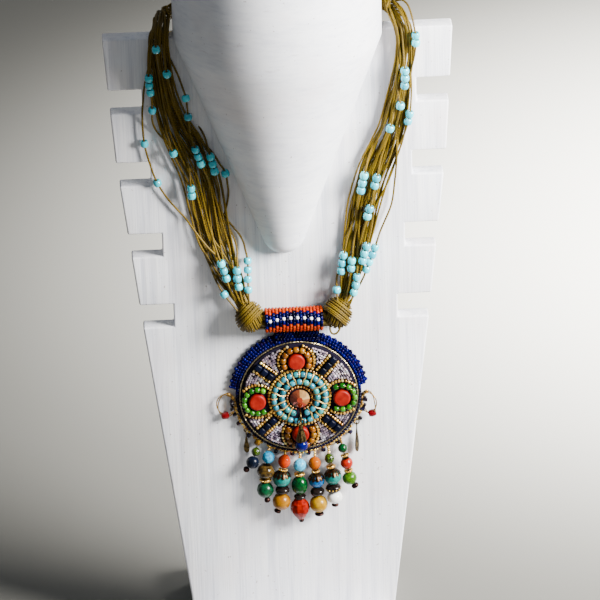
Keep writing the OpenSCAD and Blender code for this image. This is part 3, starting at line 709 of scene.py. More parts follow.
# %% The route of the bundles
CORD_R = 0.46
BACK_Y = 9.6
BUNDLES = {
    "left": [
        (-17.5, front(5.6), 172, 3.2, 2.6, 0), (-19.8, front(5.2), 177, 3.6, 2.6, 0),
        (-22.2, front(4.2), 182.5, 4.4, 2.3, 0), (-26, front(3), 192.5, 7, 1.9, 0),
        (-29.6, front(2.4), 203, 8.4, 1.8, 0), (-32.6, front(2.2), 213, 8.8, 1.8, 0),
        (-37.2, front(2.2), 239.5, 9.4, 1.8, 0), (-42.8, front(2.4), 254, 8.8, 1.9, 0),
        (-48, front(2.7), 266, 7.6, 2.2, 0), (-51.8, front(3), 280, 6.4, 2.5, 0),
        (-53.6, front(3.6), 293, 5.8, 2.9, 0), (-54, front(4.4), 304, 5.2, 3.4, 8),
        (-53.4, front(3.2), 310.6, 4.6, 3.6, 45), (-52.2, 0, 312.6, 4.2, 3.6, 90),
        (-51, 7.4, 313.8, 4.3, 3.5, 125), (-45.8, 10.2, 315, 4.5, 3.5, 160),
        (-38, BACK_Y, 315.6, 4.8, 3.5, 180), (-20, BACK_Y, 316, 4.6, 3.6, 180),
        (-8.15, BACK_Y, 316, 4, 3.8, 180)],
    "right": [
        (23.6, front(5.6), 172, 2.8, 2.6, 0), (26.6, front(5.2), 177, 2.6, 2.8, 0),
        (28.2, front(4.4), 181, 3.2, 2.6, 0), (30.2, front(3.4), 188, 4.4, 2.3, 0),
        (32, front(2.6), 196, 5.8, 2, 0), (34.9, front(2.2), 211, 7.4, 1.8, 0),
        (37.6, front(2.2), 224, 8.4, 1.8, 0), (42.1, front(2.3), 238.5, 8.6, 1.8, 0),
        (47.3, front(2.5), 251, 7.8, 2, 0), (51, front(2.8), 262, 6.6, 2.3, 0),
        (54, front(3), 278, 5.4, 2.6, 0), (56.4, front(3.6), 293, 4.6, 2.9, 0),
        (57, front(4.4), 304, 4.4, 3.4, 8), (56, front(3.2), 310.6, 4.4, 3.6, 45),
        (54.2, 0, 312.6, 4.4, 3.6, 90), (52, 6.4, 313.8, 4.4, 3.5, 125),
        (46.5, 10, 315, 4.6, 3.5, 160), (38, BACK_Y, 315.6, 4.8, 3.5, 180),
        (20, BACK_Y, 316, 4.6, 3.6, 180), (8.15, BACK_Y, 316, 4, 3.8, 180)],
}


def smooth_row(rows, u):
    """A table's row at a place between its rows, smoothly joined."""
    last = len(rows) - 1
    i = min(int(u), last - 1)
    t = u - i
    a, b, c, d = (np.array(rows[min(last, max(0, k))], float) for k in (i - 1, i, i + 1, i + 2))
    bend = (2 * a - 5 * b + 4 * c - d) * t * t + (3 * b - a - 3 * c + d) * t ** 3
    return b + ((c - a) * t + bend) / 2


def bundle_frame(rows, u):
    """The bundle's row at a place along it, and the directions along, across and out of it."""
    row = smooth_row(rows, u)
    ahead = unit(smooth_row(rows, min(len(rows) - 1, u + 0.05))[:3] - smooth_row(rows, max(0, u - 0.05))[:3])
    face = math.radians(row[5])
    wide = unit(np.cross(ahead, (0, -math.cos(face), math.sin(face))))
    return row, ahead, wide, unit(np.cross(wide, ahead))


def bundle_place(rows, u, across, deep):
    """A point of the bundle, from -1 to 1 across it and through it."""
    row, _, wide, out = bundle_frame(rows, u)
    return row[:3] + wide * across * (row[3] - CORD_R) + out * deep * (row[4] - CORD_R)


print("rows of the left and right bundles:", len(BUNDLES["left"]), len(BUNDLES["right"]))

# %% [markdown]
# The cords are linen, waxed olive and gold, and twisted from fine yarns. The cord tree has noted how
# far along and around each point is, so a slanting wave of those two gives the twist. The grooves of
# the twist are painted darker, as painted shade, and a cord that lies deep in a bundle gets a darker
# tint than one on top, as painted shade under the others.

# %% The cords' finish
CORD_LIGHT = vivid(178, 146, 34)
# The deep colour is both the cord's own darker tone and painted shade in its grooves.
CORD_DEEP_AND_SHADE = vivid(76, 60, 22)


def waxed_cord():
    finish = Finish("waxed_cord", Specular_IOR_Level=0.25)
    twist = finish.twist(1.3, yarns=2)
    fibre = finish.noise(0.35, detail=4.0)
    patch = finish.noise(6.0)
    # The deep end falls in the twist's grooves as painted shade, mixed with the random tone of fibres and
    # patches.
    colour = finish.ramp(twist * 0.3 + fibre * 0.4 + patch * 0.4, (0.25, CORD_DEEP_AND_SHADE), (0.75, CORD_LIGHT))
    finish.link(finish.blend(0.85, colour, finish.read("tint", "Color"), "MULTIPLY"), "Base Color")
    finish.link(0.4 + fibre * 0.25, "Roughness")
    finish.bump(twist * 0.7 + fibre * 0.3, 0.06, 0.7)
    return finish.material


CORD = waxed_cord()


def cord_shade(chance, low, high):
    level = chance.uniform(low, high)
    return level, level * chance.uniform(0.94, 1.02), level * chance.uniform(0.75, 1.0), 1


# %% [markdown]
# ## Cords that cross
# If every cord drew a free random line, they would bunch up. Instead the cords are ranked from left to
# right at a number of stations, and from one station to the next each rank is shuffled a little. A
# cord's place is its rank, so the fan stays evenly filled while its cords change places. Its depth is
# one of three layers, with a slow wave, so that crossing cords pass over and under each other.

# %% Cords that cross
CORDS_IN_BUNDLE = 22
STATION_STEP = 2.4
LAYERS = (-0.75, 0.0, 0.75)


def wander(chance, count, stations, mixing):
    """Each cord's place across the bundle at each station, from -1 to 1."""
    order = [i / count for i in range(count)]
    places = []
    for _ in range(stations):
        order = [value + chance.gauss(0, mixing) for value in order]
        ranked = sorted(range(count), key=lambda i: order[i])
        for rank, i in enumerate(ranked):
            order[i] = rank / count
        places.append([2 * (order[i] + 0.5 / count) - 1 + chance.uniform(-0.05, 0.05) for i in range(count)])
    return [[(row[i],) for row in places] for i in range(count)]


def make_bundle(side, seed):
    chance = random.Random(seed)
    rows = BUNDLES[side]
    stations = math.ceil((len(rows) - 1) / STATION_STEP) + 1
    lanes = wander(chance, CORDS_IN_BUNDLE, stations, 0.2)
    lines, tints = [], []
    for i, lane in enumerate(lanes):
        layer, wave, turn = LAYERS[i % len(LAYERS)], chance.uniform(0.1, 0.3), chance.uniform(0, TAU)
        line = []
        for u in np.linspace(0, len(rows) - 1, 150):
            across = float(np.clip(smooth_row(lane, u / STATION_STEP)[0], -1, 1))
            room = math.sqrt(max(0.0, 1 - across * across))
            deep = float(np.clip(layer + wave * math.sin(u * 1.7 + turn), -1, 1)) * room
            line.append(bundle_place(rows, u, across, deep))
        lines.append(line)
        # Deeper layers get darker tints: painted shade under the cords on top.
        tints.append(cord_shade(chance, 0.64 + 0.17 * (layer + 1), 0.98 + 0.2 * (layer + 1)))
    made = cords("cords_" + side, lines, CORD_R, CORD, sides=7, tints=tints)
    finish_piece(made, "cord_olive", "cord_bundle_" + side)


make_bundle("left", 11)
make_bundle("right", 23)

# %% [markdown]
# ## Loose cords and their small beads
# In front of each bundle some cords hang looser, and these carry the small pale blue beads, in ones,
# twos and threes. The tables are those of the solid model: a cord's points from the top down, and the
# heights of its beads. A cord rises over the bundle beside its beads, so that their bores fit it, and
# at both ends it dives in between the others.

# %% The route of the loose cords
BEAD_R = 2.0
BEAD_LEN = 3.2
LIE = 0.3
STRANDS = {
    "left": [
        ([(-55.1, 311), (-55, 306), (-54.5, 300)], [306.6]),
        ([(-58.8, 297), (-58.7, 288), (-57.8, 280), (-58, 271)], [291.8, 288.2, 284.6, 275.5]),
        ([(-51.3, 300), (-50.6, 294), (-49.3, 287)], [293.9]),
        ([(-44, 286), (-42.4, 280), (-41.7, 271), (-41.2, 265)], [279.8, 271.4]),
        ([(-61.5, 281), (-62.4, 271), (-61.9, 257.6), (-59.6, 246.7), (-56.8, 238), (-51.8, 229), (-44, 219)],
         [257.7, 237.9]),
        ([(-51, 260.5), (-49.1, 253.8), (-46.7, 247)], [253.8]),
        ([(-40.6, 261.3), (-37.9, 251.8), (-34.6, 242.3)], [255.3, 251.8, 248.3]),
        ([(-33.8, 257), (-31.4, 247.3), (-29.4, 237.6)], [250.9, 247.4, 243.9]),
        ([(-29.7, 249), (-25.8, 242), (-24.8, 234.4)], [241.6]),
        ([(-42, 243), (-41.6, 234.4), (-41.1, 226.3)], [236, 232.5]),
        ([(-31, 204), (-28.2, 194.6), (-25.7, 185.7)], [198.2, 194.6, 191]),
        ([(-21.7, 201), (-22.1, 190.4), (-20.6, 181.5)], [194.4, 190.6, 186.8]),
        ([(-18, 203.7), (-17, 197.6), (-17.2, 191), (-17.2, 181)], [197.6, 193.6, 189.4, 184.6]),
        ([(-31, 187.4), (-28.4, 182.7), (-25.6, 179)], [182.7])],
    "right": [
        ([(61.2, 311), (61.9, 306.2), (61.4, 299.6)], [307.4, 303.8]),
        ([(56.3, 295), (56.6, 286.6), (55.8, 278.5)], [290.3, 286.7, 283]),
        ([(53.5, 278.5), (54.3, 273), (53.2, 266.4)], [273]),
        ([(59.2, 273.5), (58.2, 266.7), (56.2, 259)], [268.2, 264.6]),
        ([(50.9, 267.5), (49.4, 262), (46.9, 255.4)], [261.9]),
        ([(38.8, 244.5), (36.3, 235), (34.6, 225.8)], [238.6, 235, 231.4]),
        ([(44.3, 243.3), (41.9, 233.7), (40.6, 227.5)], [237.3, 233.7]),
        ([(40.6, 226.2), (38.8, 220.6), (37.1, 214.6)], [222.1, 218.5]),
        ([(51.8, 239), (51.1, 232), (49.5, 222), (45.5, 212), (42.6, 205.3), (40.7, 199.7), (38.1, 193.9),
          (35.4, 187)], [201.8, 198.4, 195, 191.6]),
        ([(39, 208), (36.2, 199), (34.1, 190.8)], [203.4, 199.9, 196.4]),
        ([(28.3, 204.7), (25.9, 195.2), (25.3, 184.5)], [199.2, 195.4, 191.6]),
        ([(31.2, 202), (30.3, 195), (29.6, 189.6)], [196.8, 193.2]),
        ([(33, 193), (32, 185), (30.1, 178.8)], [188.8, 185.1, 181.6]),
        ([(23.4, 186), (23.2, 182), (23.4, 179.4)], [182.4])],
}


def eased(t, start, slope, end, end_slope=0):
    """The way from one value to another, smooth at both ends, for t from 0 to 1."""
    return (start * (2 * t ** 3 - 3 * t ** 2 + 1) + slope * (t ** 3 - 2 * t ** 2 + t)
            + end * (3 * t ** 2 - 2 * t ** 3) + end_slope * (t ** 3 - t ** 2))


def cord_x(points, z):
    """X of a cord at a height, smooth through its points."""
    slopes = []
    for i in range(len(points)):
        a, b = points[max(0, i - 1)], points[min(len(points) - 1, i + 1)]
        slopes.append((b[0] - a[0]) / (b[1] - a[1]))
    i = next((k for k in range(len(points) - 2) if z >= points[k + 1][1]), len(points) - 2)
    (xa, za), (xb, zb) = points[i], points[i + 1]
    run = zb - za
    t = min(1.0, max(0.0, (z - za) / run))
    return eased(t, xa, slopes[i] * run, xb, slopes[i + 1] * run)


def ride_depth(rows, x, z, r):
    """How far in front of the board a cord or bead of radius r rides over the bundle."""
    flat = sorted([row for row in rows if row[5] < 20], key=lambda row: row[2])
    at = lambda c: float(np.interp(z, [row[2] for row in flat], [row[c] for row in flat]))
    room = r + 0.5
    share = min(1, abs(x - at(0)) / (at(3) * 1.1 + room))
    return max(r + LIE, FACE_Y - at(1) + (at(4) + room) * math.sqrt(1 - share * share))


def strand_point(rows, points, heights, z):
    x = cord_x(points, z)
    near = min(abs(z - h) for h in heights)
    k = max(0, min(1, (8 - near) / 5))
    low, high = ride_depth(rows, x, z, 0.55), ride_depth(rows, x, z, BEAD_R)
    return spot(x, front(low + (high - low) * k * k * (3 - 2 * k)), z)


TAIL_LENGTH = 38
TAIL_DEPTH = -0.6
TAIL_STEP = 0.02


def thinned(points):
    """A dense line with only a point every millimetre."""
    kept = []
    for p in points:
        if not kept or np.linalg.norm(p - kept[-1]) >= 1:
            kept.append(p)
    return kept


def tail(rows, end, heading, lane):
    """Leads the end of a loose cord on along the bundle, into a lane between the other cords."""
    away = lambda u: np.linalg.norm(smooth_row(rows, u)[:3] - end)
    here = min(np.linspace(0, len(rows) - 1, 600), key=away)
    row, ahead, wide, out = bundle_frame(rows, here)
    run = heading @ ahead
    start = np.array([(end - row[:3]) @ wide, (end - row[:3]) @ out])
    slope = np.array([heading @ wide, heading @ out]) / abs(run) * TAIL_LENGTH
    points, gone = [], 0.0
    while gone < TAIL_LENGTH:
        here += math.copysign(TAIL_STEP, run)
        if not 0.1 < here < len(rows) - 1.1:
            break
        before = row[:3]
        row, ahead, wide, out = bundle_frame(rows, here)
        gone += float(np.linalg.norm(row[:3] - before))
        t = min(1.0, gone / TAIL_LENGTH)
        goal = np.array([lane * (row[3] - CORD_R), TAIL_DEPTH * (row[4] - CORD_R)])
        aside, over = eased(t, start, slope, goal)
        points.append(row[:3] + wide * aside + out * over)
    return thinned(points)


def strand_line(rows, points, heights, chance):
    """A loose cord, with both ends led back in between the others."""
    top, bottom = points[0][1], points[-1][1]
    steps = np.linspace(top, bottom, int((top - bottom) / 0.8))
    line = [strand_point(rows, points, heights, z) for z in steps]
    upper = tail(rows, line[0], unit(line[0] - line[1]), chance.uniform(-0.4, 0.4))
    lower = tail(rows, line[-1], unit(line[-1] - line[-2]), chance.uniform(-0.4, 0.4))
    return upper[::-1] + line + lower


print("loose cords:", sum(len(s) for s in STRANDS.values()),
      "beads:", sum(len(h) for s in STRANDS.values() for p, h in s))

# %% The beads' finish
AQUA = vivid(154, 212, 224)
AQUA_OTHERS = (vivid(174, 222, 230), vivid(132, 200, 216))


def aqua_glass():
    """Milky glass, a little darker in its clouds, with a bright wet gloss."""
    finish = Finish("aqua_glass", Coat_Weight=0.8, Coat_Roughness=0.05, Subsurface_Weight=0.15,
                    Subsurface_Radius=(0.001, 0.001, 0.001), Subsurface_Scale=1.0)
    finish.cloud_tint(vivid(205, 240, 240), size=1.4, detail=3.0, share=0.5, rough=0.1, spread=0.12,
                      way="SOFT_LIGHT")
    return finish.material


AQUA_GLASS = aqua_glass()


def make_strands(side, seed):
    chance = random.Random(seed)
    rows = BUNDLES[side]
    lines = [strand_line(rows, points, heights, chance) for points, heights in STRANDS[side]]
    tints = [cord_shade(chance, 0.8, 1.15) for _ in lines]
    made = cords("loose_cords_" + side, lines, CORD_R, CORD, sides=7, tints=tints)
    finish_piece(made, "cord_olive", "strands_" + side)
    strung = []
    for points, heights in STRANDS[side]:
        for z in heights:
            here, above, below = (strand_point(rows, points, heights, z + dz)
                                  for dz in (0, BEAD_LEN / 2, -BEAD_LEN / 2))
            size = chance.uniform(0.95, 1.0)
            tint = shade(chance, AQUA, 0.05, AQUA_OTHERS, 0.4)
            strung.append(((2 * here + above + below) / 4, above - below, size, tint))
    made = beads("cord_beads_" + side, strung, BEAD_R, 0.62, BEAD_LEN, AQUA_GLASS, sides=20, rings=14)
    finish_piece(made, "cord_bead_aqua", "cord_beads_" + side)


make_strands("left", 5)
make_strands("right", 6)

# %% [markdown]
# ## Wound knots
# Where the cords meet the tube, one cord is wound round and round them into a ball. The turns lie side
# by side across the front, and a second set crosses them at the side that meets the tube. A turn on a
# ball is a slice through it: a direction says how the slices are stacked, and the line creeps from one
# slice to the next as it goes round, as a real winding does.

# %% Wound knots
KNOT_SIZE = half_size("knot_left")


def winding(centre, stack, turns, span, lift):
    """A cord wound on a ball, a line for each turn. The stack is the direction that the turns creep
    along, from span[0] to span[1] of the ball's radius."""
    stack = unit(np.array(stack, float))
    side = unit(np.cross(stack, (0, 1, 0)))
    other = np.cross(stack, side)
    reach = KNOT_SIZE - CORD_R + lift
    line = []
    for t in np.linspace(0, turns, turns * 30 + 1):
        d = span[0] + (span[1] - span[0]) * t / turns + 0.03 * math.sin(2.3 * t) + 0.02 * math.sin(5.1 * t)
        a = TAU * t - math.pi / 2
        ball = stack * d + (side * math.cos(a) + other * math.sin(a)) * math.sqrt(max(0.0, 1 - d * d))
        line.append(centre + ball * reach)
    return [line[30 * k:30 * k + 31] for k in range(turns)]


def make_knot(side, flip):
    centre = middle("knot_" + side)
    profile = arc(0, 0, KNOT_SIZE[0] - 0.9, KNOT_SIZE[2] - 0.9, -math.pi / 2, math.pi / 2, 13)
    core = turned("core", profile, centre, sides=24, material=CORD)
    # The core is tinted nearly black, as painted shade in the gaps between the wound turns.
    paint_tints(core, [(0.09, 0.08, 0.05, 1)] * len(core.data.vertices))
    lines = (winding(centre, (0.88 * flip, 0.18, 0.42), 10, (-0.8, 0.7), -0.1)
             + winding(centre, (-0.62 * flip, 0.33, 0.71), 10, (-0.42, 0.93), 0.4))
    chance = random.Random(31)
    tints = [cord_shade(chance, 0.28 + 0.012 * k, 0.95 + 0.008 * k) for k in range(len(lines))]
    wound = cords("wound", lines, 0.4, CORD, tints=tints)
    made = join("knot_" + side, core, wound)
    finish_piece(made, "cord_olive", "knot_" + side)


make_knot("left", 1)
make_knot("right", -1)

# %% [markdown]
# On the right the winding ends in a small loop that hangs out below the knot. Inside the tube the cords
# run on from knot to knot, and behind the neck a plain barrel clasp joins both bundles.

# %% The hanging loop, the cord in the tube and the clasp
def make_loop():
    x, y, z = middle("knot_right")
    points = [(x + 1.2, y - 3.6, z - 4.4), (x + 0.4, y - 4.2, z - 6.6), (x - 1.2, y - 4.4, z - 8.3),
              (x - 2.9, y - 4.2, z - 8.2), (x - 3.7, y - 3.6, z - 6.6), (x - 3.6, y - 3, z - 4.6)]
    bent = [smooth_row(points, u) for u in np.linspace(0, 5, 51)]
    made = cords("knot_loop", [bent], CORD_R, CORD, tints=[(0.8, 0.78, 0.7, 1)])
    finish_piece(made, "cord_olive")


def make_core():
    """The cords on their way through the tube: six laid around one."""
    low, high = node_box("cord_core")
    _, y, z = (low + high) / 2
    r = (high[1] - low[1]) / 6
    along = np.linspace(low[0], high[0], 30)
    lines = [[spot(x, y, z) for x in along]]
    for k in range(6):
        turns = [(x, k * TAU / 6 + x * 0.08) for x in along]
        lines.append([spot(x, y + 2 * r * math.cos(a), z + 2 * r * math.sin(a)) for x, a in turns])
    finish_piece(cords("cord_core", lines, r, CORD), "cord_olive", "cord_core")


make_loop()
make_core()

AGED_BRASS = metal("aged_brass", vivid(190, 150, 92), vivid(96, 66, 36), 0.28)


def make_clasp():
    half, r = half_size("clasp")[:2]
    end = [(0.01, 1), (r - 0.6, 1), (r, 0.92), (r, 0.82), (r - 0.35, 0.78), (r - 0.35, 0.72), (r, 0.68)]
    profile = [(q, -h) for q, h in end] + end[::-1]
    made = turned("clasp", [(q, h * half) for q, h in profile], middle("clasp"), axis=(1, 0, 0),
                  sides=40, material=AGED_BRASS)
    finish_piece(made, "clasp_brass", "clasp")


make_clasp()

# %% [markdown]
# ## The bead tube
# The tube is woven from seed beads: every second column sits half a bead higher than its neighbours,
# and the bore of each bead runs around the tube. Where the front faces the camera, white beads stand
# in a navy band, with orange beads above and below. The back is navy.

# %% Seed beads
SEED_NAVY = vivid(13, 10, 74)
SEED_ORANGE = vivid(228, 68, 0)
SEED_WHITE = srgb(244, 242, 252)
SEED_GLASS = tinted_glass("seed_glass", rough=0.2, coat=0.03, gloss=0.06)


def woven_colour(chance, column, row, rows):
    """The colour of one bead, by its row above or below the middle of the band."""
    off = min(row, rows - row)
    if column % 2 and off == 0:
        return shade(chance, SEED_WHITE, 0.03)
    if off < 1.8:
        return shade(chance, SEED_NAVY, 0.3, (vivid(8, 7, 42), vivid(24, 20, 104)), 0.4)
    if off < 5:
        return shade(chance, SEED_ORANGE, 0.12, (vivid(222, 52, 0), vivid(246, 92, 0)), 0.45)
    return shade(chance, SEED_NAVY, 0.35)


TUBE_COLUMNS = 17
TUBE_ROWS = 18
TUBE_SEED_R = 0.79


def make_tube():
    chance = random.Random(41)
    centre, size = middle("bead_tube"), half_size("bead_tube")
    pitch = 2 * size[0] / TUBE_COLUMNS
    ring = size[2] - TUBE_SEED_R
    spots = []
    for column in range(TUBE_COLUMNS):
        for step in range(TUBE_ROWS):
            row = step if column % 2 else step + 0.5
            arch = 6 - 17 * ((column - 8) / 8) ** 2
            angle = VIEW_DOWN + math.radians(arch) + TAU * row / TUBE_ROWS
            out = spot(0, -math.cos(angle), math.sin(angle))
            place = centre + spot(pitch * (column + 0.5) - size[0], 0, 0) + out * ring
            narrow = 0.8 if column % 2 and row == 0 else 1.0
            seed_size = (chance.uniform(0.96, 1.01), chance.uniform(0.96, 1.0), narrow)
            tint = woven_colour(chance, column, row, TUBE_ROWS)
            spots.append((place, np.cross(out, (1, 0, 0)), seed_size, tint))
    length = TAU * ring / TUBE_ROWS * 0.96
    woven = beads("woven", spots, TUBE_SEED_R, 0.22, length, SEED_GLASS, sides=12, rings=10)
    inner, half = ring - 0.25, size[0] - 0.5
    lining = turned("lining", [(inner, -half), (inner, half), (inner - 0.35, half), (inner - 0.35, -half)],
                    centre, axis=(1, 0, 0), sides=40, ring=True, material=FELT)
    finish_piece(join("bead_tube", woven, lining), "seed_orange", "bead_tube")


def felt():
    """Dark backing felt, with short fibres."""
    finish = Finish("dark_felt", Specular_IOR_Level=0.1)
    fibre = finish.cloud_ramp((0.3, srgb(8, 6, 14)), (0.75, srgb(28, 22, 44)), size=0.25, detail=4.0,
                              rough=0.75, spread=0.2)
    finish.bump(fibre, 0.15, 0.8)
    return finish.material


FELT = felt()
make_tube()

# %% [markdown]
# Below the tube a short strap of navy seed beads joins it to the medallion. Its beads stand in rows
# like bricks, on a strip of felt that follows the rim.

# %% The strap
RIM_GAP_R = 28.05
SEED_R = 0.78
STRAP_PITCH, STRAP_ROW = 1.5, 1.42
STRAP_HALF, FELT_HALF = 10, 10.4


def make_strap():
    chance = random.Random(43)
    top = node_box("tube_strap")[1][2]
    y = middle("tube_strap")[1]
    spots = []
    for k in range(9):
        z = top - 0.75 - STRAP_ROW * k
        for i in range(-8, 9):
            x = STRAP_PITCH * (i + (0.5 if k % 2 else 0))
            if abs(x) < STRAP_HALF and math.hypot(x, z - DISC[2]) > RIM_GAP_R + SEED_R:
                tint = shade(chance, SEED_NAVY, 0.35, (vivid(8, 8, 40), vivid(22, 24, 104)), 0.4)
                spots.append((spot(DISC[0] + x, y, z), (0, 0, 1), chance.uniform(0.95, 1.02), tint))
    rows = beads("rows", spots, SEED_R, 0.22, 1.4, SEED_GLASS)
    reach = math.asin(FELT_HALF / RIM_GAP_R)
    outline = [(DISC[0] + RIM_GAP_R * math.sin(a), DISC[2] + RIM_GAP_R * math.cos(a))
               for a in np.linspace(-reach, reach, 17)]
    outline += [(DISC[0] + FELT_HALF, top - 0.3), (DISC[0] - FELT_HALF, top - 0.3)]
    sheet = [[spot(x, y, z) for x, z in outline] for y in (front(2.55), front(3.1))]
    strip = loft("strip", sheet, material=FELT)
    finish_piece(join("tube_strap", rows, strip), "seed_navy", "tube_strap")


make_strap()

# %% [markdown]
# ## The medallion
# The medallion is worked on a dark ground. From the middle outwards it has a cut crystal, a ring of
# small brown seeds, two rings of turquoise beads laced with gold thread, and a circle of gold seeds.
# Around that stand four corals with glass petals, and four bars of navy blocks between rows of gold
# seeds. All that is left of the ground is filled with lilac seeds lined with silver.

# %% Places on the medallion
CORALS = {"top": (-0.8, 18.3), "left": (-19.4, -1.5), "right": (19.8, -1.2), "bottom": (0.2, -19.1)}
BARS = [math.radians(a) for a in (48.3, 139.5, 223.5, 316)]
CRYSTAL_AT = (CRYSTAL[0] - DISC[0], CRYSTAL[2] - DISC[2])
RINGS = middle("turquoise_outer")
RINGS_AT = (RINGS[0] - DISC[0], RINGS[2] - DISC[2])
RING_R = half_size("bezel_ring")[0] - 0.5
LIFT = 0.15


def on_disc(x, z, height):
    """A point of the medallion, from its centre and above its ground."""
    return spot(DISC[0] + x, GROUND_Y - height, DISC[2] + z)


def around(centre, radius, angle):
    return centre[0] + radius * math.cos(angle), centre[1] + radius * math.sin(angle)


def sewn(x, z, angle, height):
    """A bead's place and the direction of its bore, which lies flat on the ground."""
    return on_disc(x, z, height), (math.cos(angle), 0, math.sin(angle))


def arc_of(radius, start, end, pitch):
    """Evenly spaced angles along an arc."""
    count = max(2, round(radius * abs(end - start) / pitch) + 1)
    return np.linspace(start, end, count)


print("ring radius:", RING_R, "crystal:", np.round(CRYSTAL_AT, 2))

# %% [markdown]
# The gold seeds are placed first, as their rows draw the pattern: the circle, an arc around each
# coral's petals, and a row along both sides of each bar. The lilac seeds then take whatever room is
# left, ring by ring. A new seed is only sewn where it is clear of all others.

# %% Where the small seeds go
GOLD_R = 0.72
GOLD_ROOM, LILAC_ROOM = 1.12, 0.98
CIRCLE_R, CIRCLE_SEEDS = 14.2, 58
PETAL_R, ARC_R = 6.05, 8.35
BAR_SIDE = 2.55
FIELD_R = 26.2


def gold_rows():
    """Places and bore directions of the gold seeds, from the disc's centre."""
    rows = []
    for a in np.arange(0, TAU, TAU / CIRCLE_SEEDS):
        rows.append((*around(RINGS_AT, CIRCLE_R, a), a + math.pi / 2))
    for place in CORALS.values():
        facing = math.atan2(place[1], place[0])
        for a in arc_of(ARC_R, facing - 2.5, facing + 2.5, 1.54):
            rows.append((*around(place, ARC_R, a), a + math.pi / 2))
    for angle in BARS:
        for side in (-BAR_SIDE, BAR_SIDE):
            for r in np.arange(15.9, 26.2, 1.46):
                x, z = around((0, 0), r, angle)
                rows.append((x - side * math.sin(angle), z + side * math.cos(angle), angle))
    return rows


def clear_of(taken, x, z, room):
    return all(math.hypot(x - a, z - b) >= room for a, b in taken)


def sew_gold():
    """Gold seeds inside the ring that don't run into each other or under the stones."""
    kept = []
    for x, z, angle in gold_rows():
        if math.hypot(x, z) > FIELD_R or math.hypot(x - RINGS_AT[0], z - RINGS_AT[1]) < CIRCLE_R - 0.2:
            continue
        if clear_of([seed[:2] for seed in kept], x, z, GOLD_ROOM):
            kept.append((x, z, angle))
    return kept


def in_a_bar(x, z, margin):
    for angle in BARS:
        along = x * math.cos(angle) + z * math.sin(angle)
        across = -x * math.sin(angle) + z * math.cos(angle)
        if along > 13.2 and abs(across) < BAR_SIDE + margin:
            return True
    return False


def sew_lilac(chance, gold):
    taken = [seed[:2] for seed in gold]
    kept = []
    for radius in np.arange(CIRCLE_R + 1, FIELD_R + 0.2, GOLD_ROOM):
        for a in np.arange(0, TAU, GOLD_ROOM / radius):
            x, z = around((0, 0), radius + chance.uniform(-0.1, 0.1), a + chance.uniform(-0.1, 0.1) / radius)
            near_coral = not clear_of(CORALS.values(), x, z, ARC_R + 0.9)
            if near_coral or in_a_bar(x, z, 0.9) or not clear_of(taken, x, z, GOLD_ROOM):
                continue
            if clear_of([seed[:2] for seed in kept[-140:]], x, z, LILAC_ROOM):
                kept.append((x, z, a + math.pi / 2 + chance.uniform(-0.5, 0.5)))
    return kept


GOLD_SEEDS = sew_gold()
LILAC_SEEDS = sew_lilac(random.Random(47), GOLD_SEEDS)
print("gold seeds:", len(GOLD_SEEDS), "lilac seeds:", len(LILAC_SEEDS))

# %% [markdown]
# A seed lined with metal shines like it, but its glass adds a wet gloss on top. The gold seeds differ
# from pale champagne to deep brass. The lilac ones are cut with flat sides, so that they glitter.

# %% The ground and its small seeds
GOLD_SEED = srgb(196, 152, 64)
GOLD_OTHERS = (srgb(232, 202, 122), srgb(150, 106, 36), srgb(206, 156, 82), srgb(108, 74, 26))
LILAC = srgb(162, 148, 162)
LILAC_OTHERS = (srgb(226, 220, 230), srgb(124, 110, 126), srgb(190, 168, 172), srgb(80, 70, 86))


def lined_glass(name, metallic, rough):
    """Clear glass over a metal lining, a little paler in small clouds."""
    finish = Finish(name, Metallic=metallic, Coat_Weight=0.4, Coat_Roughness=0.05)
    finish.cloud_tint((1, 0.95, 0.9, 1), size=0.45, detail=3.0, share=0.6, rough=rough, spread=0.12,
                      way="SOFT_LIGHT")
    return finish.material


GOLD_LINED = lined_glass("gold_lined_seeds", 0.65, 0.22)
SILVER_LINED = lined_glass("silver_lined_seeds", 0.7, 0.16)


def turned_flat(name, profile, node, sides, material):
    """A round flat piece of the medallion, turned about the line from its back to the front."""
    x, _, z = middle(node)
    back = spot(x, node_box(node)[1][1], z)
    return turned(name, profile, back, axis=(0, -1, 0), sides=sides, material=material)


def make_ground():
    chance = random.Random(53)
    radius, thick = half_size("disc_ground")[:2] * (1, 2)
    profile = [(0.01, 0), (radius, 0), (radius, thick - 0.2), (radius - 0.2, thick), (0.01, thick)]
    plate = turned_flat("plate", profile, "disc_ground", 128, FELT)
    spots = []
    for seed in LILAC_SEEDS:
        spots.append((*sewn(*seed, 0.55 + chance.uniform(0, 0.18)), chance.uniform(0.9, 1.08),
                      shade(chance, LILAC, 0.2, LILAC_OTHERS, 0.6)))
    cut = beads("cut_seeds", spots, 0.57, 0.16, 1.15, SILVER_LINED, sides=6, rings=6)
    made = join("ground_and_lilac_seeds", plate, cut)
    finish_piece(made, "seed_lilac", "disc_ground", sharp=math.radians(28))


def make_gold_seeds():
    chance = random.Random(59)
    spots = [(*sewn(*seed, GOLD_R + LIFT), chance.uniform(0.93, 1.05),
              shade(chance, GOLD_SEED, 0.16, GOLD_OTHERS, 0.45)) for seed in GOLD_SEEDS]
    made = beads("gold_seeds", spots, GOLD_R, 0.2, 1.02, GOLD_LINED)
    finish_piece(made, "gold_metal")


make_ground()
make_gold_seeds()
